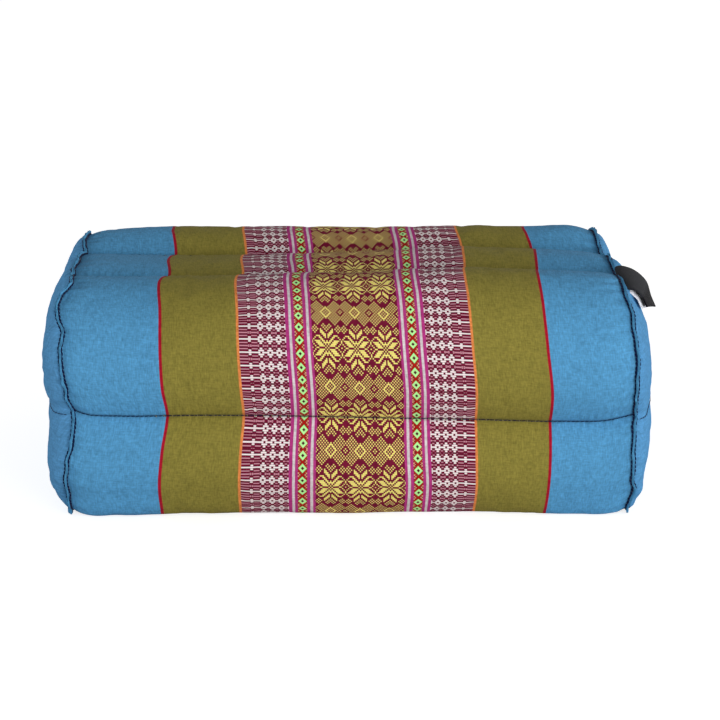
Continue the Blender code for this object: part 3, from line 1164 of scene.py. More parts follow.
def dress_shader(sheet: NodeSheet, shader: bpy.types.Node, colour: Feed, height: Feed,
                 strength: float = 0.7) -> None:
    """Give a cloth's shader its colour and its relief.

    Args:
        sheet: the material's tree.
        shader: its shader.
        colour: the cloth's colour.
        height: the cloth's height, in metres.
        strength: how strongly the relief shows.
    """
    bump = sheet.node("ShaderNodeBump", Height=height, Strength=strength, Distance=1.0)
    sheet.put(shader.inputs["Base Color"], colour)
    sheet.put(shader.inputs["Normal"], bump.outputs[0])


@dataclass(frozen=True)
class WrapFinish:
    """Colours and relief of the patterned wrap cloth."""

    blue: tuple = (84, 151, 196)
    olive: tuple = (136, 126, 57)
    red_line: tuple = (166, 22, 44)
    orange: tuple = (228, 136, 74)
    maroon: tuple = (118, 24, 52)
    white: tuple = (246, 234, 234)
    pink: tuple = (206, 146, 162)
    magenta: tuple = (180, 56, 128)
    grey: tuple = (214, 204, 206)
    green: tuple = (190, 246, 160)
    green_dark: tuple = (72, 34, 30)
    red: tuple = (186, 24, 14)
    red_ground: tuple = (128, 34, 36)
    tan: tuple = (222, 168, 128)
    gold: tuple = (250, 236, 132)
    sheen: float = 0.02
    sheen_rough: float = 0.45
    float_height: float = 0.16 * MM
    weave_height: float = 0.05 * MM
    slub: float = 0.55
    # Strength of the painted shade that darkens the ground between the white band's float rows.
    furrow: float = 0.45

    # Edges of the patterned stripes, in cells from the middle of the cloth.
    GOLD_EDGE = 30.0
    WHITE_START = 48.15
    WHITE_CELLS = 32.0
    WHITE_EDGE = 80.4
    GREEN_EDGES = (35.75, 42.05)
    GREEN_MIDDLE = 38.9
    GREEN_CELL = 0.9
    # Width of the soft step from one stripe to the next, in cells.
    STRIPE_STEP = 0.25

    def stripes(self) -> tuple:
        """The plain stripes, from the middle of the cloth outwards.

        Returns:
            For each the edge at which it starts, in cells, and its colour.
        """
        return (
            (0.0, self.maroon), (self.GOLD_EDGE, self.magenta), (31.75, self.grey),
            (33.6, self.magenta), (self.GREEN_EDGES[0], self.red_ground),
            (self.GREEN_EDGES[1], self.magenta), (43.95, self.grey), (45.75, self.magenta),
            (self.WHITE_START, self.maroon), (self.WHITE_EDGE, self.orange),
            (82.2, self.olive), (133.75, self.red_line), (135.9, self.blue),
        )

    def build(self, tools: ClothTools) -> Material:
        """Make the material. The pattern lies on the piece's own cloth map, in cells.

        Args:
            tools: the shader groups of the cloths.

        Returns:
            The material.
        """
        material, sheet, shader = cloth_material("woven_wrap_cloth", self.sheen, self.sheen_rough)
        ends, picks = cells = cloth_cells(sheet)
        out = sheet.maths("ABSOLUTE", ends)
        colour = linear(*self.maroon)
        for edge, tint in self.stripes()[1:]:
            colour = sheet.mix(sheet.over(out, edge, self.STRIPE_STEP), colour, linear(*tint))
        slub = tools.slub.place(sheet, Ends=ends, Picks=picks, Strength=self.slub)
        colour = sheet.brighten(colour, slub.outputs["Tone"])
        gold = tools.gold.place(sheet, Ends=ends, Picks=picks).outputs["Float"]
        gold = sheet.both(gold, sheet.under(out, self.GOLD_EDGE))
        colour = sheet.mix(gold, colour, linear(*self.gold))
        rows = tools.rows.place(sheet, Picks=picks)
        colour, white = self.white_band(sheet, tools, out, rows, colour)
        colour, green = self.green_band(sheet, tools, out, rows, colour)
        floats = sheet.add(gold, white, green)
        ridged = sheet.maths("ABSOLUTE", sheet.maths("COSINE", sheet.times(picks, math.pi)))
        ridged = sheet.maths("MULTIPLY_ADD", ridged, 0.3, 0.7)
        height = sheet.add(sheet.times(floats, ridged, self.float_height),
                           weave_relief(sheet, tools, cells, 2.0, self.weave_height))
        dress_shader(sheet, shader, colour, height)
        sheet.put(shader.inputs["Roughness"], sheet.maths("MULTIPLY_ADD", floats, -0.18, 0.86))
        return material

    def white_band(self, sheet: NodeSheet, tools: ClothTools, out: Feed, rows: bpy.types.Node,
                   colour: Feed) -> tuple:
        """Lay the rosettes over the colour.

        Args:
            sheet: the material's tree.
            tools: the shader groups of the cloths.
            out: cells from the middle of the cloth.
            rows: the node of the rosette rows.
            colour: the colour so far.

        Returns:
            The new colour, and the mask of the white floats.
        """
        column = sheet.times(sheet.maths("SUBTRACT", out, self.WHITE_START),
                             self.WHITE_CELLS / (self.WHITE_EDGE - self.WHITE_START))
        band = sheet.both(sheet.over(out, self.WHITE_START), sheet.under(out, self.WHITE_EDGE))
        rosettes = tools.white.place(sheet, Column=column, Away=rows.outputs["Away"])
        # Painted shade darkens the ground between the rows of floats.
        furrow = sheet.times(rosettes.outputs["Furrow"], band, self.furrow)
        colour = sheet.brighten(colour, sheet.inverse(furrow))
        colour = sheet.mix(sheet.both(rosettes.outputs["Pink"], band), colour, linear(*self.pink))
        white = sheet.both(rosettes.outputs["White"], band)
        return sheet.mix(white, colour, linear(*self.white)), white

    def green_band(self, sheet: NodeSheet, tools: ClothTools, out: Feed, rows: bpy.types.Node,
                   colour: Feed) -> tuple:
        """Lay the green diamonds over the colour.

        Args:
            sheet: the material's tree.
            tools: the shader groups of the cloths.
            out: cells from the middle of the cloth.
            rows: the node of the rosette rows.
            colour: the colour so far.

        Returns:
            The new colour, and the mask of the green floats.
        """
        column = sheet.maths("DIVIDE", sheet.maths("SUBTRACT", out, self.GREEN_MIDDLE),
                             self.GREEN_CELL)
        band = sheet.both(sheet.over(out, self.GREEN_EDGES[0]), sheet.under(out, self.GREEN_EDGES[1]))
        diamonds = tools.green.place(sheet, Column=column, Away=rows.outputs["Away"],
                                     Between=rows.outputs["Between"])
        masks = {output: sheet.both(diamonds.outputs[output], band) for output in
                 ("Dark", "Green", "Cross", "Dots")}
        tints = (self.green_dark, self.green, self.red, self.tan)
        for mask, tint in zip(masks.values(), tints):
            colour = sheet.mix(mask, colour, linear(*tint))
        return colour, masks["Green"]


@dataclass(frozen=True)
class PlainClothFinish:
    """Cloth of one colour: blue cotton, or a ribbon painted darker as shade where it bends down."""

    name: str
    colour: tuple
    bent_colour: tuple | None = None
    bend: float = 21.0
    bend_step: float = 2.5
    slub: float = 0.5
    specular: float = 0.05
    sheen: float = 0.0
    sheen_rough: float = 0.45
    fineness: float = 2.0
    weave_height: float = 0.08 * MM
    relief: float = 0.7

    def build(self, tools: ClothTools) -> Material:
        """Make the material, on the piece's own cloth map, in cells.

        Args:
            tools: the shader groups of the cloths.

        Returns:
            The material.
        """
        material, sheet, shader = cloth_material(self.name, self.sheen, self.sheen_rough)
        shader.inputs["Specular IOR Level"].default_value = self.specular
        ends, picks = cells = cloth_cells(sheet)
        slub = tools.slub.place(sheet, Ends=ends, Picks=picks, Strength=self.slub)
        colour = linear(*self.colour)
        # Past the bend the ribbon is painted darker: painted shade on the part that bends down.
        if self.bent_colour:
            bend = sheet.over(picks, self.bend, self.bend_step)
            colour = sheet.mix(bend, colour, linear(*self.bent_colour))
        colour = sheet.brighten(colour, slub.outputs["Tone"])
        height = weave_relief(sheet, tools, cells, self.fineness, self.weave_height)
        dress_shader(sheet, shader, colour, height, self.relief)
        return material


@dataclass(frozen=True)
class ThreadFinish:
    """Twisted cotton sewing thread."""

    name: str
    colour: tuple

    def build(self) -> Material:
        """Make the material.

        Returns:
            The material.
        """
        material, sheet, shader = cloth_material(self.name, 0.2, 0.4)
        place = sheet.node("ShaderNodeTexCoord")
        tone = sheet.noise(place.outputs["Object"], 900.0, 2.0, 0.6)
        tone = sheet.maths("MULTIPLY_ADD", tone, 0.7, 0.65)
        sheet.put(shader.inputs["Base Color"], sheet.brighten(linear(*self.colour), tone))
        return material


@dataclass
class CushionShape:
    """The form in the row frame, with places along the cloth for every point of the wrap."""

    form: CushionForm
    rings: Array = field(init=False)
    arcs: Array = field(init=False)
    total: float = field(init=False)
    channel_arcs: list = field(init=False)
    offset: Array = field(init=False)
    ends: dict = field(init=False)
    fuller: dict = field(init=False)

    GAP = 0.3 * MM
    BULGE = {Side.LEFT: 0.0188, Side.RIGHT: 0.0169}
    LOWER_SHARE = {Side.LEFT: 1.02, Side.RIGHT: 0.97}
    LINE_DEPTH = 0.09
    LINE_WIDTH = 0.055
    CREASE_DEPTH = 0.10
    CREASE_WIDTH = 0.09
    CREASES = (0.345, 0.655)
    # Settling under the filling's own weight, as the photo shows it: place along the cushion, how
    # far the back crown has sunk, how far the front foot has spread, and how far the cloth before
    # the front and the back top channel has sunk, in mm.
    SETTLING = (
        (-175.0, 2.5, 6.5, -2.0, -2.0), (-140.0, 0.5, 7.5, -2.0, -2.0),
        (-117.0, 0.0, 8.5, -2.0, -1.5), (-95.0, 0.0, 5.0, -2.0, -1.0),
        (-50.0, 1.0, 5.0, -0.5, 1.0), (-20.0, 1.5, 5.5, 0.5, 1.5), (5.0, 2.0, 3.5, 1.5, 3.0),
        (45.0, 2.0, 2.0, 1.5, 2.0), (70.0, 2.5, 1.5, 1.0, 1.0), (92.0, 2.5, 3.5, 2.5, 2.5),
        (120.0, 1.5, 4.5, 3.0, 3.0), (150.0, 1.5, 6.5, 3.5, 4.5), (168.0, 2.0, 7.0, 3.5, 4.5),
    )
    CROWN_REACH = 20.0 * MM
    # Where the back crown, the foot and its corners begin, and how far they reach.
    BACK_CROWN = (22.0 * MM, 22.0 * MM)
    FRONT_FOOT = (50.0 * MM, 30.0 * MM)
    FOOT_HEIGHT = 16.0 * MM
    CORNER_DROP = 2.4 * MM
    CORNERS = (125.0 * MM, 25.0 * MM)
    FULLER = {Side.LEFT: 3.6 * MM, Side.RIGHT: 2.9 * MM}
    FULLER_LINE = 0.045
    FULLER_DROP = 1.35
    BULGE_POWER = 2.6
    BULGE_ROUND = 0.7
    # The top valleys are pulled flat where they meet the right-hand seam.
    RIGHT_VALLEYS = (5.5 * MM, 5.5 * MM)
    VALLEY_REACH = 7.0 * MM
    TIGHT_END = (118.0 * MM, 42.0 * MM)

    def __post_init__(self) -> None:
        """Build the rings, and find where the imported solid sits."""
        self.rings = self.form.rings()
        starts = tube_starts()
        closed = np.concatenate((self.rings, self.rings[:, :1]), axis=1)
        steps = np.linalg.norm(np.diff(closed, axis=1), axis=2)
        run = np.concatenate((np.zeros((len(closed), 1)), np.cumsum(steps, axis=1)), axis=1)
        middle = run[len(run) // 2]
        arcs = []
        for index in range(len(TUBES)):
            first, last = starts[index], starts[index + 1]
            share = (run[:, first:last] - run[:, first:first + 1])
            share = share / (run[:, last:last + 1] - run[:, first:first + 1])
            arcs.append(middle[first] + share * (middle[last] - middle[first]))
        self.arcs = np.concatenate(arcs, axis=1)
        self.total = middle[-1]
        self.channel_arcs = [middle[start] for start in starts]
        self.offset = self.find_offset()
        self.settle()
        self.rings += self.offset
        self.fuller = dict(self.FULLER)
        self.ends = {side: self.end_grid(side, 0.0) for side in Side}

    def settle(self) -> None:
        """Let the crowns sink and the front foot spread."""
        rows = np.array(self.SETTLING)
        x, y, z = (self.rings[..., axis] for axis in range(3))
        sunk, spread, *before = (np.interp(x / MM, rows[:, 0], rows[:, index]) * MM
                                 for index in range(1, rows.shape[1]))
        low, high = z.min(), z.max()
        back = rising(y, *self.BACK_CROWN)
        above = rising(z, 0.5 * (low + high), 0.4 * (high - low))
        front = rising(-y, *self.FRONT_FOOT)
        foot = 1.0 - rising(z, low, self.FOOT_HEIGHT)
        self.rings[..., 2] -= sunk * back * above ** 2
        self.rings[..., 1] -= spread * front * foot ** 1.5
        for channel, lowered in zip(self.channel_arcs[1:3], before):
            self.rings[..., 2] -= lowered * bell(self.arcs - channel, self.CROWN_REACH)
        corner = rising(np.abs(x), *self.CORNERS) ** 2
        dropped = z - self.CORNER_DROP * corner * front * foot
        self.rings[..., 2] = np.where(front * foot > 0.0, np.maximum(dropped, low), z)
        tight = rising(x, *self.TIGHT_END) ** 2
        for channel, depth in zip(self.channel_arcs[1:3], self.RIGHT_VALLEYS):
            self.rings[..., 2] += depth * tight * bell(self.arcs - channel, self.VALLEY_REACH)

    def find_offset(self) -> Array:
        """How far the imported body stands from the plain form's own origin.

        Returns:
            The (x, y, z) of the step.
        """
        fitted, self.rings = self.rings, replace(self.form, seam_share=0.0).rings()
        self.fuller = {side: 0.0 for side in Side}
        caps = [self.end_grid(side, 0.0).reshape(-1, 3) for side in Side]
        cloud = np.concatenate([self.rings.reshape(-1, 3)] + caps)
        self.rings = fitted
        low, high = (np.array(corner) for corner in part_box("cushion_body"))
        offset = ((low + high) - (cloud.min(axis=0) + cloud.max(axis=0))) / 2.0
        offset[2] = low[2] - cloud[:, 2].min()
        return offset

    def end_ring(self, side: Side) -> Array:
        """The wrap's outline at an end seam."""
        return self.rings[-1 if side is Side.RIGHT else 0]

    def grid_sides(self) -> tuple:
        """Ring indices along the bottom, top, front and back of an end's grid.

        Returns:
            The four runs of indices.
        """
        starts = tube_starts()
        total = starts[-1]
        corner = {tube.name: starts[i] + tube.steps // 2 for i, tube in enumerate(TUBES)}

        def run(first: int, last: int) -> list[int]:
            """Ring indices from one to another, on past the ring's start."""
            return [(first + step) % total for step in range((last - first) % total + 1)]

        front_low, back_low = corner["tube_front_bottom"], corner["tube_back_bottom"]
        front_top, back_top = corner["tube_front_top"], corner["tube_back_top"]
        return (run(back_low, front_low)[::-1], run(front_top, back_top),
                run(front_low, front_top), run(back_top, back_low)[::-1])

    def end_grid(self, side: Side, lift: float) -> Array:
        """Points that fill an end ring and bulge outwards, rows upward, columns to the back.

        Args:
            side: which end.
            lift: how far they lie off the filling.

        Returns:
            Rows by columns by (x, y, z).
        """
        bottom, top, front, back = self.grid_sides()
        ring = self.end_ring(side)
        low, high, near, far = ring[bottom], ring[top], ring[front][:, None], ring[back][:, None]
        up = np.linspace(0.0, 1.0, len(front))[:, None, None]
        across = np.linspace(0.0, 1.0, len(bottom))[None, :, None]
        grid = (1 - up) * low + up * high + (1 - across) * near + across * far
        grid = grid - (1 - up) * ((1 - across) * low[0] + across * low[-1])
        grid = grid - up * ((1 - across) * high[0] + across * high[-1])
        bulge = self.bulge(side, across, up)[..., 0]
        share = 1.0 - self.FULLER_DROP * rising(up[..., 0], 0.6, 0.3)
        grid[..., 0] += side.value * ((self.BULGE[side] + share * self.fuller[side]) * bulge + lift)
        return grid

    def bulge(self, side: Side, across: Array, up: Array) -> Array:
        """How full an end is at a place of its grid, from 0 at its seam to 1.

        Args:
            side: which end.
            across: shares of the way to the back.
            up: shares of the way up.

        Returns:
            A share for each place.
        """
        edge = (1.0 - np.abs(2.0 * across - 1.0) ** self.BULGE_POWER)
        edge = edge * (1.0 - np.abs(2.0 * up - 1.0) ** self.BULGE_POWER)
        fullness = np.clip(edge, 0.0, 1.0) ** self.BULGE_ROUND
        depth = self.FULLER_LINE if self.fuller[side] else self.LINE_DEPTH
        line = depth * bell(up - 0.5, self.LINE_WIDTH)
        creases = sum(bell(across - place, self.CREASE_WIDTH) for place in self.CREASES)
        layer = rising(up, 0.4, 0.2)
        layer = self.LOWER_SHARE[side] + (1.0 - self.LOWER_SHARE[side]) * layer
        return fullness * layer * (1.0 - line - self.CREASE_DEPTH * creases)

    def ring_normals(self, side: Side) -> Array:
        """Unit normals of an end ring in its own section, pointing out.

        Args:
            side: which end.

        Returns:
            One (x, y, z) for each point of the ring.
        """
        points = self.end_ring(side)[:, 1:]
        tangent = np.roll(points, -1, axis=0) - np.roll(points, 1, axis=0)
        normal = np.stack((np.zeros(len(points)), -tangent[:, 1], tangent[:, 0]), axis=1)
        return normal / np.linalg.norm(normal, axis=1)[:, None]

    def cloth_places(self) -> Array:
        """For every point of the wrap its place on the charts, in ends and picks.

        Returns:
            Stations by ring points by (ends, picks).
        """
        along = self.arcs / MM
        along = np.where(along > self.channel_arcs[5] / MM, along - self.total / MM, along)
        lines = read_smoothly(STRIPE_LINES, along)
        x = (self.rings[..., 0] - self.offset[0]) / MM
        red_left, grey_left, grey_right, red_right = (lines[..., i] for i in range(4))
        cells = STRIPE_CELLS
        left = x < grey_left
        right = x > grey_right
        near = cells[1] + (x - grey_left) * (cells[1] - cells[0]) / (grey_left - red_left)
        middle = cells[1] + (x - grey_left) * (cells[2] - cells[1]) / (grey_right - grey_left)
        far = cells[2] + (x - grey_right) * (cells[3] - cells[2]) / (red_right - grey_right)
        ends = np.where(left, near, np.where(right, far, middle))
        above = np.interp(along, PICKS_ABOVE[:, 0], PICKS_ABOVE[:, 1])
        below = np.interp(along, PICKS_BELOW[:, 0], PICKS_BELOW[:, 1])
        slope = np.interp(along, PICK_SLOPE[:, 0], PICK_SLOPE[:, 1])
        picks = np.where(along < 0.0, below, above) + slope * (x - 0.5 * (grey_left + grey_right))
        return np.stack((ends, picks), axis=-1)


@dataclass
class ClothSettle:
    """Settles the wrap over its filling in a cloth simulation, held at its seams and its foot."""

    station_step: int = 3
    around_step: int = 2
    frames: int = 20
    pressure: float = 4.0
    growth: float = 0.012
    bending: float = 0.05
    limit: float = 1.6 * MM
    broad: int = 5
    share: float = 0.5
    foot: float = 0.8 * MM

    def cloth_mesh(self, grid: Array, held: Array) -> Piece:
        """The coarse sheet that is simulated, with its held points in a group.

        Args:
            grid: its points, stations by points around.
            held: which points are held, in the same order.

        Returns:
            The sheet.
        """
        faces = loop_faces(*grid.shape[:2], closed=False)
        obj = link_mesh("settling_cloth", grid.reshape(-1, 3), faces)
        group = obj.vertex_groups.new(name="held")
        group.add([int(index) for index in np.flatnonzero(held)], 1.0, "REPLACE")
        return obj

    def simulate(self, obj: Piece) -> Array:
        """Run the cloth, and give back where its points come to rest.

        Args:
            obj: the sheet.

        Returns:
            One (x, y, z) for each point.
        """
        cloth = obj.modifiers.new("settle", "CLOTH")
        cloth.settings.use_pressure = True
        cloth.settings.uniform_pressure_force = self.pressure
        cloth.settings.shrink_min = -self.growth
        cloth.settings.bending_stiffness = self.bending
        cloth.settings.vertex_group_mass = "held"
        cloth.settings.effector_weights.gravity = 0.0
        cloth.collision_settings.use_collision = False
        cloth.point_cache.frame_end = self.frames
        scene = bpy.context.scene
        for frame in range(1, self.frames + 1):
            scene.frame_set(frame)
        settled = obj.evaluated_get(bpy.context.evaluated_depsgraph_get())
        places = np.empty(len(settled.data.vertices) * 3)
        settled.data.vertices.foreach_get("co", places)
        scene.frame_set(1)
        return places.reshape(-1, 3)

    def even_out(self, heights: Array) -> Array:
        """The broad part of a grid of heights, closed round its second side.

        Args:
            heights: stations by points around.

        Returns:
            The smoothed heights.
        """
        size = self.broad
        share = np.hanning(2 * size + 3)[1:-1]
        share = share / share.sum()
        round_about = np.concatenate((heights[:, -size:], heights, heights[:, :size]), axis=1)
        broad = sum(weight * round_about[:, step:step + heights.shape[1]]
                    for step, weight in enumerate(share))
        ends = np.concatenate((np.repeat(broad[:1], size, 0), broad, np.repeat(broad[-1:], size, 0)))
        return sum(weight * ends[step:step + len(heights)] for step, weight in enumerate(share))

    def folds(self, surface: Array, channels: list[int]) -> Array:
        """Small folds that the cloth takes up.

        Args:
            surface: the wrap, stations by points around.
            channels: the points around that lie in a channel.

        Returns:
            How far each point stands out along its normal.
        """
        grid = surface[::self.station_step, ::self.around_step]
        held = grid[..., 2] < self.foot
        held[[0, -1]] = True
        held[:, [channel // self.around_step for channel in channels]] = True
        obj = self.cloth_mesh(grid, held.ravel())
        moved = self.simulate(obj).reshape(grid.shape) - grid
        mesh = obj.data
        bpy.data.objects.remove(obj)
        bpy.data.meshes.remove(mesh)
        heights = (moved * surface_normals(grid, closed=True)).sum(axis=2)
        heights = np.clip(heights, -self.limit, self.limit)
        LOG.info("cloth settled: moves %.2f to %.2f mm", heights.min() / MM, heights.max() / MM)
        heights = np.where(held, 0.0, self.share * (heights - self.even_out(heights)))
        LOG.info("folds %.2f to %.2f mm", heights.min() / MM, heights.max() / MM)
        rows = np.arange(len(heights)) * self.station_step
        heights = read_smoothly(np.column_stack((rows, heights)), np.arange(len(surface)))
        closed = np.concatenate((heights, heights[:, :1]), axis=1)
        columns = np.arange(closed.shape[1]) * self.around_step
        return read_smoothly(np.column_stack((columns, closed.T)), np.arange(surface.shape[1])).T


@dataclass
class WrapCloth:
    """The six filled tubes under the patterned wrap."""

    shape: CushionShape
    tuck_pitch: float = 4.4 * MM
    tuck_depth: float = 0.32 * MM
    tuck_reach: float = 3.2 * MM
    pucker_pitch: float = 8.0 * MM
    pucker_depth: float = 0.55 * MM
    pucker_reach: float = 5.0 * MM
    swell_depth: float = 0.45 * MM
    swell_length: float = 38.0 * MM
    ripple_depth: float = 0.16 * MM
    ripple_length: float = 13.0 * MM
    seam_calm: float = 14.0 * MM
    channel_calm: float = 9.0 * MM
    pucker_calm: float = 4.0 * MM
    fill: float = 0.92
    wall_gap: float = 0.27 * MM
    folds: Array | None = None
    caps: dict = field(default_factory=dict)

    # Rings that close a tube's end, by their size; and the parts of a wall and of the baking map.
    CAP_SHARES = (0.93, 0.8, 0.6, 0.35)
    WALL_SHARES = (0.25, 0.5, 0.75, 1.0)
    BAKE_OUTER = 0.98
    BAKE_WALL = 0.985
    BAKE_CAP = (0.5, 0.9925)

    def relief(self) -> Array:
        """How far each point stands out from the plain form, along its normal.

        Returns:
            Stations by ring points, in metres.
        """
        rings, arcs = self.shape.rings, self.shape.arcs
        x = rings[..., 0]
        nearest = np.abs(arcs[..., None] - np.array(self.shape.channel_arcs)).min(axis=-1)
        seam = rising(np.minimum(x - rings[0, :, 0], rings[-1, :, 0] - x), 0.0, self.seam_calm)
        calm = seam * rising(nearest, 0.0, self.channel_calm)
        height = self.swell_depth * wander_over(x, arcs, self.swell_length, 11) * calm
        height = height + self.ripple_depth * wander_over(x, arcs, self.ripple_length, 12) * calm
        tuck = folds_along(x, self.tuck_pitch, 0.5, 17.0 * MM, 21) * pucker(nearest, self.tuck_reach)
        strength = 0.7 + 0.3 * wander(x, 23.0 * MM, 22)
        height = height + self.tuck_depth * strength * tuck * seam
        for side, seed in ((Side.LEFT, 31), (Side.RIGHT, 32)):
            away = np.abs(x - self.shape.end_ring(side)[:, 0])
            fold = folds_along(arcs, self.pucker_pitch, 0.8, 15.0 * MM, seed)
            size = self.pucker_depth * (0.6 + 0.4 * wander(arcs, 21.0 * MM, seed + 5))
            fold = size * fold * pucker(away, self.pucker_reach)
            height = height + fold * rising(nearest, 0.0, self.pucker_calm)
        return height

    def points(self) -> Array:
        """The wrap's finished surface.

        Returns:
            Stations by ring points by (x, y, z).
        """
        rings = self.shape.rings
        normals = surface_normals(rings, closed=True)
        placed = rings + normals * self.relief()[..., None]
        if self.folds is None:
            self.folds = ClothSettle().folds(placed, tube_starts()[:-1])
        placed = placed + normals * self.folds[..., None]
        placed[..., 2] = np.maximum(placed[..., 2], 0.0)
        placed[0], placed[-1] = rings[0], rings[-1]
        return placed

    def walls(self, tube: Tube, first: Array, last: Array) -> Array:
        """The tube's inner walls at every station, from its last channel back to its first.

        Args:
            tube: the tube.
            first: its first channel, a point for each station.
            last: its last channel.

        Returns:
            Stations by wall points by (x, y, z).
        """
        form, offset = self.shape.form, self.shape.offset
        lines = [last]
        for y, z in tube.core:
            share = form.shares()
            x = share * (form.half_length - form.end_lean * y)
            lines.append(np.column_stack((x, np.full_like(x, y), np.full_like(x, z))) + offset)
        lines.append(first)
        walls = []
        for before, after in zip(lines, lines[1:]):
            walls += [before + step * (after - before) for step in self.WALL_SHARES]
        return np.stack(walls[:-1], axis=1)

    def build_tube(self, index: int, outer: Array, places: Array, dress: Material) -> Piece:
        """Close one tube and dress it.

        Args:
            index: the tube's place in the list.
            outer: its part of the wrap, stations by points.
            places: the same points' places on the charts.
            dress: its material.

        Returns:
            The finished piece.
        """
        tube = TUBES[index]
        wall = self.walls(tube, outer[:, 0], outer[:, -1])
        section = np.concatenate((outer, wall), axis=1)
        middle = section.mean(axis=1, keepdims=True)
        inward = (middle - section)[..., 1:]
        inward = inward / np.linalg.norm(inward, axis=2, keepdims=True)
        stations, around = section.shape[:2]
        count = outer.shape[1]
        lift = np.full(around, self.wall_gap)
        lift[1:count - 1] = 0.0
        section[..., 1:] += inward * lift[None, :, None]
        ends = ((Side.LEFT, 0), (Side.RIGHT, stations - 1))
        for side, station in ends:
            for place in range(count, around):
                section[station, place, 0] = self.cap_x(side, section[station, place])
        faces = loop_faces(stations, around, closed=False)
        points = section.reshape(-1, 3)
        bake = np.zeros((stations, around, 2))
        bake[..., 0] = np.linspace(0.0, 1.0, stations)[:, None]
        bake[:, :count, 1] = np.linspace(0.0, self.BAKE_OUTER, count)
        bake[:, count:, 1] = np.linspace(self.BAKE_WALL, 1.0, around - count)
        chart = np.concatenate((places, np.repeat(places[:, -1:], around - count, axis=1)), axis=1)
        bake, chart = bake.reshape(-1, 2), chart.reshape(-1, 2)
        for side, station in ends:
            cap = self.cap_points(side, section[station])
            faces += cap_faces(station * around, len(points), around, len(self.CAP_SHARES))
            points = np.concatenate((points, cap))
            bake = np.concatenate((bake, np.tile(self.BAKE_CAP, (len(cap), 1))))
            chart = np.concatenate((chart, np.tile(chart[station * around], (len(cap), 1))))
        obj = link_mesh(tube.name, points, faces)
        add_map(obj, CLOTH_MAP, chart)
        add_map(obj, BAKE_MAP, bake)
        fit_piece(obj, dress, "cushion_body")
        LOG.info("%s: %d faces", tube.name, len(obj.data.polygons))
        return obj

    def cap_points(self, side: Side, ring: Array) -> Array:
        """Points that close a tube's end, on the bulge behind its panel.

        Args:
            side: which end.
            ring: the tube's last ring there.

        Returns:
            Rings ever closer to the middle and then the middle, one (x, y, z) a row.
        """
        centre = ring.mean(axis=0)
        rings = [centre + share * (ring - centre) for share in self.CAP_SHARES]
        points = np.concatenate(rings + [centre[None]])
        points[:, 0] = [self.cap_x(side, point) for point in points]
        return points

    def cap_x(self, side: Side, point: Array) -> float:
        """X of the bulge behind an end panel, straight out from a point.

        Args:
            side: which end.
            point: the (x, y, z) to look from.

        Returns:
            The bulge's x there.
        """
        start = Vector((side.value * 0.3, point[1], point[2]))
        hit = self.caps[side].ray_cast(start, Vector((-side.value, 0.0, 0.0)))
        if hit[0] is None:
            ring = self.shape.end_ring(side)
            return float(ring[np.argmin(np.hypot(*(ring[:, 1:] - point[1:]).T)), 0])
        return hit[0].x - side.value * 0.1 * MM

    def build(self, dress: Material) -> list[Piece]:
        """Build all six tubes.

        Args:
            dress: their material.

        Returns:
            The six pieces.
        """
        for side in Side:
            grid = self.shape.ends[side]
            faces = grid_faces(*grid.shape[:2])
            self.caps[side] = BVHTree.FromPolygons(grid.reshape(-1, 3).tolist(), faces)
        surface, places = self.points(), self.shape.cloth_places()
        starts = tube_starts()
        made = []
        for index in range(len(TUBES)):
            columns = np.arange(starts[index], starts[index + 1] + 1) % starts[-1]
            chart = places[:, columns]
            chart[:, -1] = 2.0 * chart[:, -2] - chart[:, -3]
            made.append(self.build_tube(index, surface[:, columns], chart, dress))
        return made


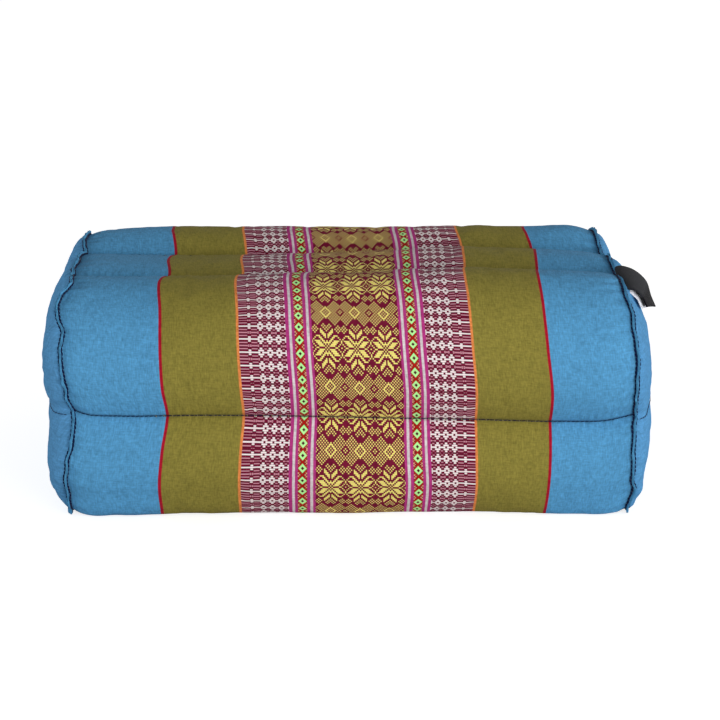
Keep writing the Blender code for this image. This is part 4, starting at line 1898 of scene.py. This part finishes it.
@dataclass
class EndPanels:
    """The two plain panels that close the ends."""

    shape: CushionShape
    thickness: float = 1.7 * MM
    pucker_pitch: float = 9.0 * MM
    pucker_depth: float = 0.5 * MM
    line_sag: float = 0.026
    line_reach: float = 0.3
    height: float = 0.13
    depth: float = 0.18
    girth: float = 0.56
    middle: float = 0.062
    pucker_reach: float = 5.5 * MM
    rim_calm: float = 8.0 * MM
    swell_depth: float = 0.5 * MM
    swell_length: float = 26.0 * MM
    line_depth: float = 0.55 * MM
    line_width: float = 0.022
    tuck_depth: float = 0.25 * MM
    tuck_pitch: float = 6.5 * MM
    tuck_width: float = 0.07

    # Parts of the baking map that the outer face fills, and the corner that the inner face has.
    BAKE_OUTER = 0.98
    BAKE_INNER = (0.99, 0.99)

    def line_height(self, across: Array) -> Array:
        """Share of the panel's height at which its sewn line runs; it drops to the front seam."""
        return 0.5 - self.line_sag * bell(across, self.line_reach)

    def surface(self, side: Side, lift: float, detail: float) -> Array:
        """One face of a panel.

        Args:
            side: which end.
            lift: how far it lies off the filling.
            detail: share of the folds and puckers that it shows.

        Returns:
            Rows upward by columns to the back, of (x, y, z).
        """
        grid = self.shape.end_grid(side, self.shape.GAP + lift)
        rows, columns = grid.shape[:2]
        up = np.linspace(0.0, 1.0, rows)[:, None]
        across = np.linspace(0.0, 1.0, columns)[None, :]
        y, z = grid[..., 1], grid[..., 2]
        rim = np.minimum(np.minimum(up, 1.0 - up) * self.height,
                         np.minimum(across, 1.0 - across) * self.depth)
        turn = np.arctan2(z - self.middle, y)
        seed = 41 if side is Side.LEFT else 42
        sway = 2.0 * math.pi * 0.35 * wander(turn, 0.35, seed)
        fold = np.cos(self.girth / self.pucker_pitch * turn + sway)
        relief = self.pucker_depth * fold * pucker(rim, self.pucker_reach)
        inner = rising(rim, 0.0, self.rim_calm)
        relief = relief + self.swell_depth * inner * wander_over(y, z, self.swell_length, seed + 2)
        off_line = up - self.line_height(across)
        line = bell(off_line, self.line_width) * rising(rim, 0.0, 6.0 * MM)
        relief = relief - self.line_depth * line
        close = bell(off_line, self.tuck_width) - line
        tuck = folds_along(y, self.tuck_pitch, 0.4, 14.0 * MM, seed + 4)
        relief = relief + self.tuck_depth * tuck * close * inner
        grid[..., 0] += side.value * relief * detail
        return grid

    def build_panel(self, side: Side, dress: Material) -> Piece:
        """Build one panel as a closed sheet.

        Args:
            side: which end.
            dress: its material.

        Returns:
            The finished piece.
        """
        outer = self.surface(side, self.thickness, 1.0)
        inner = self.surface(side, 0.0, 0.0)
        rows, columns = outer.shape[:2]
        count = rows * columns
        points = np.concatenate((outer.reshape(-1, 3), inner.reshape(-1, 3)))
        name = "panel_" + side.word
        obj = link_mesh(name, points, sheet_faces(rows, columns))
        chart = np.stack((points[:, 1] / CELL_WIDTH, points[:, 2] / PICK), axis=1)
        up = np.repeat(np.linspace(0.0, 1.0, rows), columns)
        along = np.tile(np.linspace(0.0, 1.0, columns), rows)
        bake = np.stack((along * self.BAKE_OUTER, up * self.BAKE_OUTER), axis=1)
        hidden = np.tile(self.BAKE_INNER, (count, 1))
        add_map(obj, CLOTH_MAP, chart)
        add_map(obj, BAKE_MAP, np.concatenate((bake, hidden)))
        fit_piece(obj, dress, "end_" + name)
        return obj

    def build(self, tubes: list, dress: Material) -> list[Piece]:
        """Build both panels."""
        return [self.build_panel(side, dress) for side in Side]


@dataclass
class EdgeRidges:
    """The seam allowances of wrap and panel, turned out as a wavy ridge round each end."""

    shape: CushionShape
    height: float = 2.4 * MM
    thickness: float = 1.15 * MM
    tab: float = 0.4
    wave: float = 0.5 * MM
    inset: float = -0.15 * MM
    root: float = 0.2 * MM
    lowest: float = 0.175 * MM
    least: float = 0.6 * MM
    ripple: float = 0.28 * MM
    fineness: int = 3
    label_y: float = -55.0 * MM
    label_reach: float = 16.0 * MM
    label_low: float = 105.0 * MM
    label_rise: float = 10.0 * MM
    corner_z: float = 3.0 * MM
    corner_reach: float = 3.5 * MM
    corner_y: float = 60.0 * MM

    # Place across the ridge and share of its height: the wrap's lip, a groove, the panel's lip.
    PROFILE = (
        (0.00, 0.00), (0.00, 0.45), (0.03, 0.82), (0.14, 1.00), (0.30, 1.04), (0.42, 0.93),
        (0.50, 0.80), (0.58, 0.90), (0.72, 0.99), (0.87, 0.94), (0.97, 0.78), (1.00, 0.42),
        (1.00, 0.00),
    )

    def heights(self, side: Side, ring: Array, turn: Array) -> Array:
        """Height of the ridge: wavy, lower at the label, and a tab at the corners of the foot.

        Args:
            side: which end.
            ring: the points of its seam.
            turn: how far round the end each point is, from 0 to a full turn.

        Returns:
            A height for each point.
        """
        wave = np.sin(9.0 * turn + 0.6) + 0.6 * np.sin(23.0 * turn + side.value)
        height = self.height + 0.5 * self.wave * wave
        if side is Side.RIGHT:
            off = np.abs(ring[:, 1] - self.label_y) / self.label_reach
            over = rising(ring[:, 2], self.label_low, self.label_rise)
            height = height * (1.0 - 0.5 * over * np.exp(-off ** 4))
        corner = bell(ring[:, 2] - self.corner_z, self.corner_reach)
        corner = corner * (np.abs(ring[:, 1]) > self.corner_y)
        return np.maximum(height * (1.0 + self.tab * corner), self.least)

    def build_ridge(self, side: Side, dress: Material) -> Piece:
        """Build the ridge of one end as a closed band.

        Args:
            side: which end.
            dress: its material.

        Returns:
            The finished piece.
        """
        ring = refine_loop(self.shape.end_ring(side), self.fineness)
        normals = refine_loop(self.shape.ring_normals(side), self.fineness)
        count = len(ring)
        turn = 2.0 * math.pi * np.arange(count) / count
        height = self.heights(side, ring, turn)
        sway = self.wave * np.sin(14.0 * turn + 2.0 * side.value)
        sway = sway + self.ripple * np.sin(61.0 * turn + 1.3)
        flutter = 0.35 * MM * np.sin(83.0 * turn + 0.5) + 0.25 * MM * np.sin(47.0 * turn)
        loops = []
        for across, share in self.PROFILE:
            lip = flutter if across < 0.5 else -flutter
            x = ring[:, 0] - side.value * self.inset
            x = x + side.value * (self.thickness * across + sway * share)
            out = self.root + (height - self.root + 0.5 * lip) * share
            loops.append(np.column_stack((x, ring[:, 1:] + out[:, None] * normals[:, 1:])))
        band = np.stack(loops, axis=1)
        around = len(loops)
        level = np.linspace(0.0, 0.25 * MM, around)
        band[..., 2] = np.maximum(band[..., 2], self.lowest + level)
        name = "edge_" + side.word
        obj = link_mesh(name, band.reshape(-1, 3), loop_faces(count, around, closed=True))
        along = np.cumsum(np.linalg.norm(np.diff(ring, axis=0, prepend=ring[:1]), axis=1))
        chart = np.stack(np.broadcast_arrays(along[:, None] / CELL_WIDTH,
                                             np.arange(around)[None, :] * 0.6), axis=-1)
        add_map(obj, CLOTH_MAP, chart.reshape(-1, 2))
        fit_piece(obj, dress, "edge_ridge_" + side.word)
        LOG.info("%s: %d faces", name, len(obj.data.polygons))
        return obj

    def build(self, dress: Material) -> list[Piece]:
        """Build both ridges."""
        return [self.build_ridge(side, dress) for side in Side]


@dataclass(frozen=True)
class Ribbon:
    """One ribbon of the label: names, thickness and run.

    The run's rows go from the seam to the loose end. Each has a place along, then the far edge's
    x and z and the near edge's x and z, in mm in the plain form's frame.
    """

    name: str
    node: str
    slot: str
    thickness: float
    run: tuple
    teeth: float = 0.0
    wider: float = 0.0


@dataclass
class SeamLabel:
    """The folded black label and the white strip under it, in the right-hand end seam."""

    shape: CushionShape
    far_y: float = -43.3
    near_y: float = -67.5
    arch: float = 0.5 * MM
    rows: int = 61
    columns: int = 33

    LABEL = Ribbon("seam_label", "label", "label_ribbon", 0.8 * MM, (
        # along, far x, far z, near x, near z
        (0.0, 150.0, 128.0, 151.0, 124.0), (1.0, 149.5, 130.5, 152.5, 124.5),
        (2.0, 151.5, 131.5, 154.5, 125.0), (3.0, 155.0, 131.0, 156.5, 125.0),
        (4.0, 159.0, 129.5, 158.5, 124.0), (6.0, 166.5, 123.0, 161.5, 121.0),
        (8.0, 170.0, 113.5, 163.5, 117.0), (9.0, 172.5, 108.0, 164.5, 115.0),
    ), teeth=0.5 * MM)
    STRIP = Ribbon("under_strip", "under_label", "white_ribbon", 0.35 * MM, (
        (0.0, 150.0, 127.0, 151.5, 123.0), (1.0, 150.5, 129.5, 153.0, 123.5),
        (2.0, 152.0, 130.0, 154.0, 123.5), (3.0, 155.0, 129.5, 155.5, 123.0),
        (4.0, 159.0, 127.5, 156.5, 122.0), (6.0, 164.5, 121.0, 159.0, 119.5),
        (8.0, 167.5, 112.5, 161.0, 116.0), (9.0, 169.5, 108.0, 162.0, 114.5),
    ), wider=1.6)

    def face(self, ribbon: Ribbon) -> tuple[Array, Array]:
        """A ribbon's middle surface and its unit normals, rows along it, columns across.

        Args:
            ribbon: the ribbon.

        Returns:
            The surface and its normals.
        """
        run = read_smoothly(np.array(ribbon.run), np.linspace(0.0, ribbon.run[-1][0], self.rows))
        y = np.ones(self.rows)
        far = np.stack((run[:, 0], self.far_y * y, run[:, 1]), axis=1) * MM
        near = np.stack((run[:, 2], (self.near_y - ribbon.wider) * y, run[:, 3]), axis=1) * MM
        share = np.linspace(0.0, 1.0, self.columns)[None, :, None]
        surface = self.shape.offset + far[:, None] + share * (near - far)[:, None]
        along = np.gradient(surface, axis=0)
        across = np.gradient(surface, axis=1)
        normal = np.cross(across, along)
        normal = normal / np.linalg.norm(normal, axis=2, keepdims=True)
        arch = self.arch * np.sin(math.pi * share) * np.linspace(0.0, 1.0, self.rows)[:, None, None]
        surface = surface + normal * arch
        if ribbon.teeth:
            cut = ribbon.teeth * (np.arange(self.columns) % 2)
            surface[-1] -= cut[:, None] * (along[-1] / np.linalg.norm(along[-1], axis=1)[:, None])
        return surface, normal

    def build_ribbon(self, ribbon: Ribbon, dress: Material) -> Piece:
        """Build one ribbon as a closed sheet.

        Args:
            ribbon: the ribbon.
            dress: its material.

        Returns:
            The finished piece.
        """
        surface, normal = self.face(ribbon)
        rows, columns = surface.shape[:2]
        half = ribbon.thickness / 2.0
        sides = (surface + half * normal, surface - half * normal)
        points = np.concatenate([side.reshape(-1, 3) for side in sides])
        obj = link_mesh(ribbon.name, points, sheet_faces(rows, columns))
        length = np.linalg.norm(np.diff(surface[:, columns // 2], axis=0), axis=1).sum()
        width = np.linalg.norm(surface[:, 0] - surface[:, -1], axis=1).mean()
        chart = np.stack(np.broadcast_arrays(
            np.linspace(0.0, width / CELL_WIDTH, columns)[None, :],
            np.linspace(0.0, length / PICK, rows)[:, None]), axis=-1).reshape(-1, 2)
        add_map(obj, CLOTH_MAP, np.concatenate((chart, chart)))
        fit_piece(obj, dress, ribbon.node)
        return obj

    def build(self, *dresses: Material) -> list[Piece]:
        """Build the label and its strip, each in its own material."""
        return [self.build_ribbon(*pair) for pair in zip((self.LABEL, self.STRIP), dresses)]


@dataclass
class StitchRow:
    """A run of stitches: the line that they follow and the way that they face."""

    line: Array
    facing: Array
    closed: bool = False


@dataclass
class StitchSet:
    """Equal stitches along rows, laid by geometry nodes."""

    name: str
    pitch: float
    length: float
    width: float
    height: float
    slant: float
    uneven: float
    seed: int
    slot: str = "seam_cloth"

    def stitch_tree(self, dress: Material) -> bpy.types.NodeTree:
        """Build the node tree: rows to curves, points at each pitch, a stitch on each point.

        Args:
            dress: the thread's material.

        Returns:
            The tree.
        """
        tree = bpy.data.node_groups.new(self.name + "_tree", "GeometryNodeTree")
        face = tree.interface
        face.new_socket("Geometry", in_out="INPUT", socket_type="NodeSocketGeometry")
        for name in ("Pitch", "Length", "Width", "Height", "Slant", "Uneven"):
            face.new_socket(name, in_out="INPUT", socket_type="NodeSocketFloat")
        face.new_socket("Seed", in_out="INPUT", socket_type="NodeSocketInt")
        face.new_socket("Geometry", in_out="OUTPUT", socket_type="NodeSocketGeometry")
        sheet = NodeSheet(tree)
        given, made = sheet.node("NodeGroupInput"), sheet.node("NodeGroupOutput")
        curve = sheet.node("GeometryNodeMeshToCurve", Mesh=given.outputs["Geometry"])
        spaced = sheet.node("GeometryNodeResampleCurve", {"mode": "LENGTH"}, Curve=curve.outputs[0],
                            Length=given.outputs["Pitch"])
        facing = sheet.node("GeometryNodeInputNamedAttribute", {"data_type": "FLOAT_VECTOR"},
                            Name="facing")
        tangent = sheet.node("GeometryNodeInputTangent")
        along = sheet.node("FunctionNodeAlignRotationToVector", {"axis": "X"},
                           Vector=tangent.outputs[0])
        upright = sheet.node("FunctionNodeAlignRotationToVector",
                             {"axis": "Z", "pivot_axis": "X"}, Rotation=along.outputs[0],
                             Vector=facing.outputs["Attribute"])
        spread = sheet.node("FunctionNodeRandomValue", {"data_type": "FLOAT"},
                            Seed=given.outputs["Seed"])
        floats = [socket for socket in spread.inputs if socket.type == "VALUE"]
        sheet.put(floats[0], sheet.maths("MULTIPLY", given.outputs["Uneven"], -1.0))
        sheet.put(floats[1], given.outputs["Uneven"])
        value = next(socket for socket in spread.outputs if socket.type == "VALUE")
        angle = sheet.add(given.outputs["Slant"], value)
        turn = sheet.node("ShaderNodeCombineXYZ", Z=angle)
        turned = sheet.node("FunctionNodeRotateRotation", {"rotation_space": "LOCAL"},
                            Rotation=upright.outputs[0], Rotate_By=turn.outputs[0])
        bead = sheet.node("GeometryNodeMeshUVSphere", Segments=7, Rings=5, Radius=0.5)
        size = sheet.node("ShaderNodeCombineXYZ", X=given.outputs["Length"],
                          Y=given.outputs["Width"], Z=given.outputs["Height"])
        laid = sheet.node("GeometryNodeInstanceOnPoints", Points=spaced.outputs[0],
                          Instance=bead.outputs["Mesh"], Rotation=turned.outputs[0],
                          Scale=size.outputs[0])
        real = sheet.node("GeometryNodeRealizeInstances", Geometry=laid.outputs[0])
        smooth = sheet.node("GeometryNodeSetShadeSmooth", Geometry=real.outputs[0])
        coloured = sheet.node("GeometryNodeSetMaterial", Geometry=smooth.outputs[0], Material=dress)
        sheet.put(made.inputs["Geometry"], coloured.outputs[0])
        return tree

    def row_mesh(self, rows: list[StitchRow]) -> Piece:
        """The rows as a mesh of edges that carries the way each point faces.

        Args:
            rows: the rows.

        Returns:
            The guide that the stitches are laid on.
        """
        points, edges, facing = [], [], []
        for row in rows:
            first = len(points)
            points += row.line.tolist()
            facing += row.facing.tolist()
            count = len(row.line)
            edges += [(first + i, first + i + 1) for i in range(count - 1)]
            if row.closed:
                edges.append((first + count - 1, first))
        mesh = bpy.data.meshes.new(self.name + "_rows")
        mesh.from_pydata(points, edges, [])
        attribute = mesh.attributes.new("facing", "FLOAT_VECTOR", "POINT")
        attribute.data.foreach_set("vector", np.array(facing, dtype=np.float32).ravel())
        obj = bpy.data.objects.new(self.name + "_rows", mesh)
        bpy.context.scene.collection.objects.link(obj)
        return obj

    def build(self, rows: list[StitchRow], dress: Material) -> Piece:
        """Lay the stitches and keep them as one plain mesh.

        Args:
            rows: the rows.
            dress: the thread's material.

        Returns:
            The finished piece.
        """
        guide = self.row_mesh(rows)
        modifier = guide.modifiers.new("stitches", "NODES")
        modifier.node_group = self.stitch_tree(dress)
        values = {"Pitch": self.pitch, "Length": self.length, "Width": self.width,
                  "Height": self.height, "Slant": self.slant, "Uneven": self.uneven,
                  "Seed": self.seed}
        for item in modifier.node_group.interface.items_tree:
            if item.in_out == "INPUT" and item.name in values:
                modifier[item.identifier] = values[item.name]
        guide.update_tag()
        graph = bpy.context.evaluated_depsgraph_get()
        mesh = bpy.data.meshes.new_from_object(guide.evaluated_get(graph), depsgraph=graph)
        mesh.name = self.name
        bpy.data.objects.remove(guide)
        obj = bpy.data.objects.new(self.name, mesh)
        bpy.context.scene.collection.objects.link(obj)
        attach(obj, BODY)
        LOG.info("%s: %d faces", self.name, len(mesh.polygons))
        return obj


@dataclass
class Needlework:
    """Where each row of stitches runs."""

    shape: CushionShape
    wrap: WrapCloth
    panels: EndPanels

    # How far out each seam line lies from the ring, and how far off the cloth.
    SEAM_LINES = ((-0.15 * MM, 0.75 * MM), (1.45 * MM, -0.1 * MM))
    SEAM_FLOOR = 0.8 * MM
    PANEL_LIFT = 0.3 * MM
    CHANNEL_LIFT = 0.15 * MM
    CHANNEL_FLOOR = 0.9 * MM
    # Points to each side of a channel whose cloth its stitches face, and stations without stitches.
    BESIDE = 3
    BARE = 3
    # How far out the paler stitches run, which is as far as the olive stripe.
    OLIVE_REACH = 104.0 * MM

    def seam_rows(self) -> list[StitchRow]:
        """Rows at the root of each edge ridge, on the wrap and on the panel.

        Returns:
            Two rows for each end.
        """
        rows = []
        for side in Side:
            ring, normals = self.shape.end_ring(side), self.shape.ring_normals(side)
            for out, rise in self.SEAM_LINES:
                line = ring + normals * rise
                line[:, 0] += side.value * out
                line[:, 2] = np.maximum(line[:, 2], self.SEAM_FLOOR)
                rows.append(StitchRow(line, normals, closed=True))
        return rows

    def panel_rows(self) -> list[StitchRow]:
        """The sewn line at mid height of each panel.

        Returns:
            One row for each end.
        """
        rows = []
        for side in Side:
            grid = self.panels.surface(side, self.panels.thickness, 1.0)
            normals = np.cross(np.gradient(grid, axis=1), np.gradient(grid, axis=0))
            normals = normals / np.linalg.norm(normals, axis=2, keepdims=True)
            rows_up, columns = grid.shape[:2]
            place = self.panels.line_height(np.linspace(0.0, 1.0, columns)) * (rows_up - 1)
            below, column = np.floor(place).astype(int), np.arange(columns)
            share = (place - below)[:, None]
            line = grid[below, column] * (1.0 - share) + grid[below + 1, column] * share
            facing = normals[below, column] * np.sign(normals[below, column, :1] * side.value)
            line = line + self.PANEL_LIFT * facing
            rows.append(StitchRow(line[1:-1], facing[1:-1]))
        return rows

    def channel_rows(self, reach: float = math.inf) -> list[StitchRow]:
        """Rows along every channel of the wrap, as far out from the middle as a reach in metres.

        Args:
            reach: how far the rows go to the left and the right.

        Returns:
            One row for each channel.
        """
        surface = self.wrap.points()
        normals = surface_normals(self.shape.rings, closed=True)
        rows = []
        for start in tube_starts()[:-1]:
            sides = ((start + step) % surface.shape[1] for step in (-self.BESIDE, self.BESIDE))
            facing = sum(normals[:, place] for place in sides)
            facing = facing / np.linalg.norm(facing, axis=1, keepdims=True)
            line = surface[:, start] + self.CHANNEL_LIFT * facing
            line[:, 2] = np.maximum(line[:, 2], self.CHANNEL_FLOOR)
            kept = np.abs(line[:, 0] - self.shape.offset[0]) < reach
            kept[:self.BARE], kept[-self.BARE:] = False, False
            rows.append(StitchRow(line[kept], facing[kept]))
        return rows


@dataclass
class Studio:
    """Pale floor, soft lights and the camera."""

    target: tuple = (0.0043, 0.0, 0.0640)
    stand: tuple = (-0.0220, -1.3252, 0.4230)
    lens: float = 120.4
    sensor: float = 36.0
    sight: float = 100.0
    floor_half: float = 8.0
    floor_tone: float = 0.55
    floor_glow: float = 0.8
    key_power: float = 47.0
    side_power: float = 19.0
    sky_low: float = 1.0
    sky_high: float = 0.18
    sky_turn: float = 1.3

    # Each light: its place, its width and the field that holds its power.
    LIGHTS = {
        "front_key": ((1.2, -2.15, 0.24), 1.2, "key_power"),
        "left_fill": ((-2.3, -0.5, 0.3), 1.2, "side_power"),
        "right_fill": ((2.3, -0.3, 0.3), 1.2, "side_power"),
    }

    def floor(self) -> None:
        """A wide pale floor, bright enough to keep only a thin contact shadow."""
        corners = np.array(((-1.0, -1.0, 0.0), (1.0, -1.0, 0.0), (1.0, 1.0, 0.0), (-1.0, 1.0, 0.0)))
        floor = link_mesh("floor", self.floor_half * corners, [(0, 1, 2, 3)])
        material = bpy.data.materials.new("pale_floor")
        material.use_nodes = True
        shader = material.node_tree.nodes["Principled BSDF"]
        sheet = NodeSheet(material.node_tree)
        seen = sheet.node("ShaderNodeLightPath").outputs["Is Camera Ray"]
        shader.inputs["Base Color"].default_value = (*(self.floor_tone,) * 3, 1.0)
        shader.inputs["Roughness"].default_value = 0.9
        shader.inputs["Specular IOR Level"].default_value = 0.0
        shader.inputs["Emission Strength"].default_value = self.floor_glow
        sheet.put(shader.inputs["Emission Color"],
                  sheet.mix(seen, (0.0, 0.0, 0.0, 1.0), (1.0, 1.0, 1.0, 1.0)))
        floor.data.materials.append(material)

    def light(self, name: str, place: tuple, size: float, power: float) -> None:
        """A soft square light turned to the cushion.

        Args:
            name: the light's name.
            place: where it stands.
            size: its width and height.
            power: its power in watts.
        """
        data = bpy.data.lights.new(name, "AREA")
        data.size = size
        data.energy = power
        lamp = bpy.data.objects.new(name, data)
        lamp.location = place
        turn = (Vector(self.target) - Vector(place)).to_track_quat("-Z", "Y")
        lamp.rotation_euler = turn.to_euler()
        bpy.context.scene.collection.objects.link(lamp)

    def sky(self) -> None:
        """Even light from round about, weaker from overhead."""
        world = bpy.data.worlds.new("studio")
        world.use_nodes = True
        sheet = NodeSheet(world.node_tree)
        shader = world.node_tree.nodes["Background"]
        shader.inputs["Color"].default_value = (1.0, 1.0, 1.0, 1.0)
        way = sheet.node("ShaderNodeTexCoord").outputs["Generated"]
        split = sheet.node("ShaderNodeSeparateXYZ", Vector=way)
        high = sheet.maths("MULTIPLY", split.outputs[2], self.sky_turn, clamp=True)
        strength = sheet.maths("MULTIPLY_ADD", high, self.sky_high - self.sky_low, self.sky_low)
        seen = sheet.node("ShaderNodeLightPath").outputs["Is Camera Ray"]
        sheet.put(shader.inputs["Strength"], sheet.maths("MAXIMUM", seen, strength))
        bpy.context.scene.world = world

    def build(self) -> None:
        """Set everything up."""
        self.floor()
        for name, (place, size, power) in self.LIGHTS.items():
            self.light(name, place, size, getattr(self, power))
        self.sky()
        bpy.context.scene.view_settings.view_transform = "Standard"
        data = bpy.data.cameras.new("camera")
        data.lens = self.lens
        data.sensor_width = self.sensor
        data.clip_end = self.sight
        camera = bpy.data.objects.new("camera", data)
        target, stand = Vector(self.target), Vector(self.stand)
        camera.location = target + stand
        camera.rotation_euler = (-stand).to_track_quat("-Z", "Y").to_euler()
        bpy.context.scene.collection.objects.link(camera)
        bpy.context.scene.camera = camera


def main() -> None:
    """Dress the cushion, light it and set the camera."""
    logging.basicConfig(level=logging.INFO, format="%(message)s")
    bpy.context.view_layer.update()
    tools = ClothTools()
    shape = CushionShape(CushionForm())
    LOG.info("offset %s mm", np.round(shape.offset / MM, 2))
    wrap = WrapCloth(shape)
    tubes = wrap.build(WrapFinish().build(tools))
    panels = EndPanels(shape)
    panels.build(tubes, PlainClothFinish("end_panel_cloth", (85, 145, 192)).build(tools))
    EdgeRidges(shape).build(PlainClothFinish("seam_edge_cloth", (80, 146, 188)).build(tools))
    # The label's darker colour past its bend is painted shade.
    label = PlainClothFinish("label_cloth", (41, 42, 46), (15, 13, 18), slub=0.35, specular=0.06,
                             sheen=0.1, sheen_rough=0.4, fineness=2.5, weave_height=0.05 * MM,
                             relief=0.6)
    pale = (232, 234, 242)
    strip = replace(label, name="strip_cloth", colour=pale, bent_colour=pale)
    SeamLabel(shape).build(label.build(tools), strip.build(tools))
    work = Needlework(shape, wrap, panels)
    navy = ThreadFinish("navy_thread", (14, 30, 66)).build()
    straw = ThreadFinish("pale_thread", (150, 140, 90)).build()
    seams = StitchSet("seam_stitches", pitch=2.45 * MM, length=3.0 * MM, width=1.35 * MM,
                      height=1.1 * MM, slant=0.22, uneven=0.1, seed=3)
    seams.build(work.seam_rows(), navy)
    lines = StitchSet("channel_stitches", pitch=2.45 * MM, length=2.7 * MM, width=0.45 * MM,
                      height=0.4 * MM, slant=0.1, uneven=0.08, seed=7)
    lines.build(work.channel_rows() + work.panel_rows(), navy)
    whips = StitchSet("whip_stitches", pitch=4.4 * MM, length=0.55 * MM, width=1.3 * MM,
                      height=0.45 * MM, slant=0.35, uneven=0.4, seed=5)
    whips.build(work.channel_rows(work.OLIVE_REACH), straw)
    Studio().build()


if __name__ == "__main__":
    main()
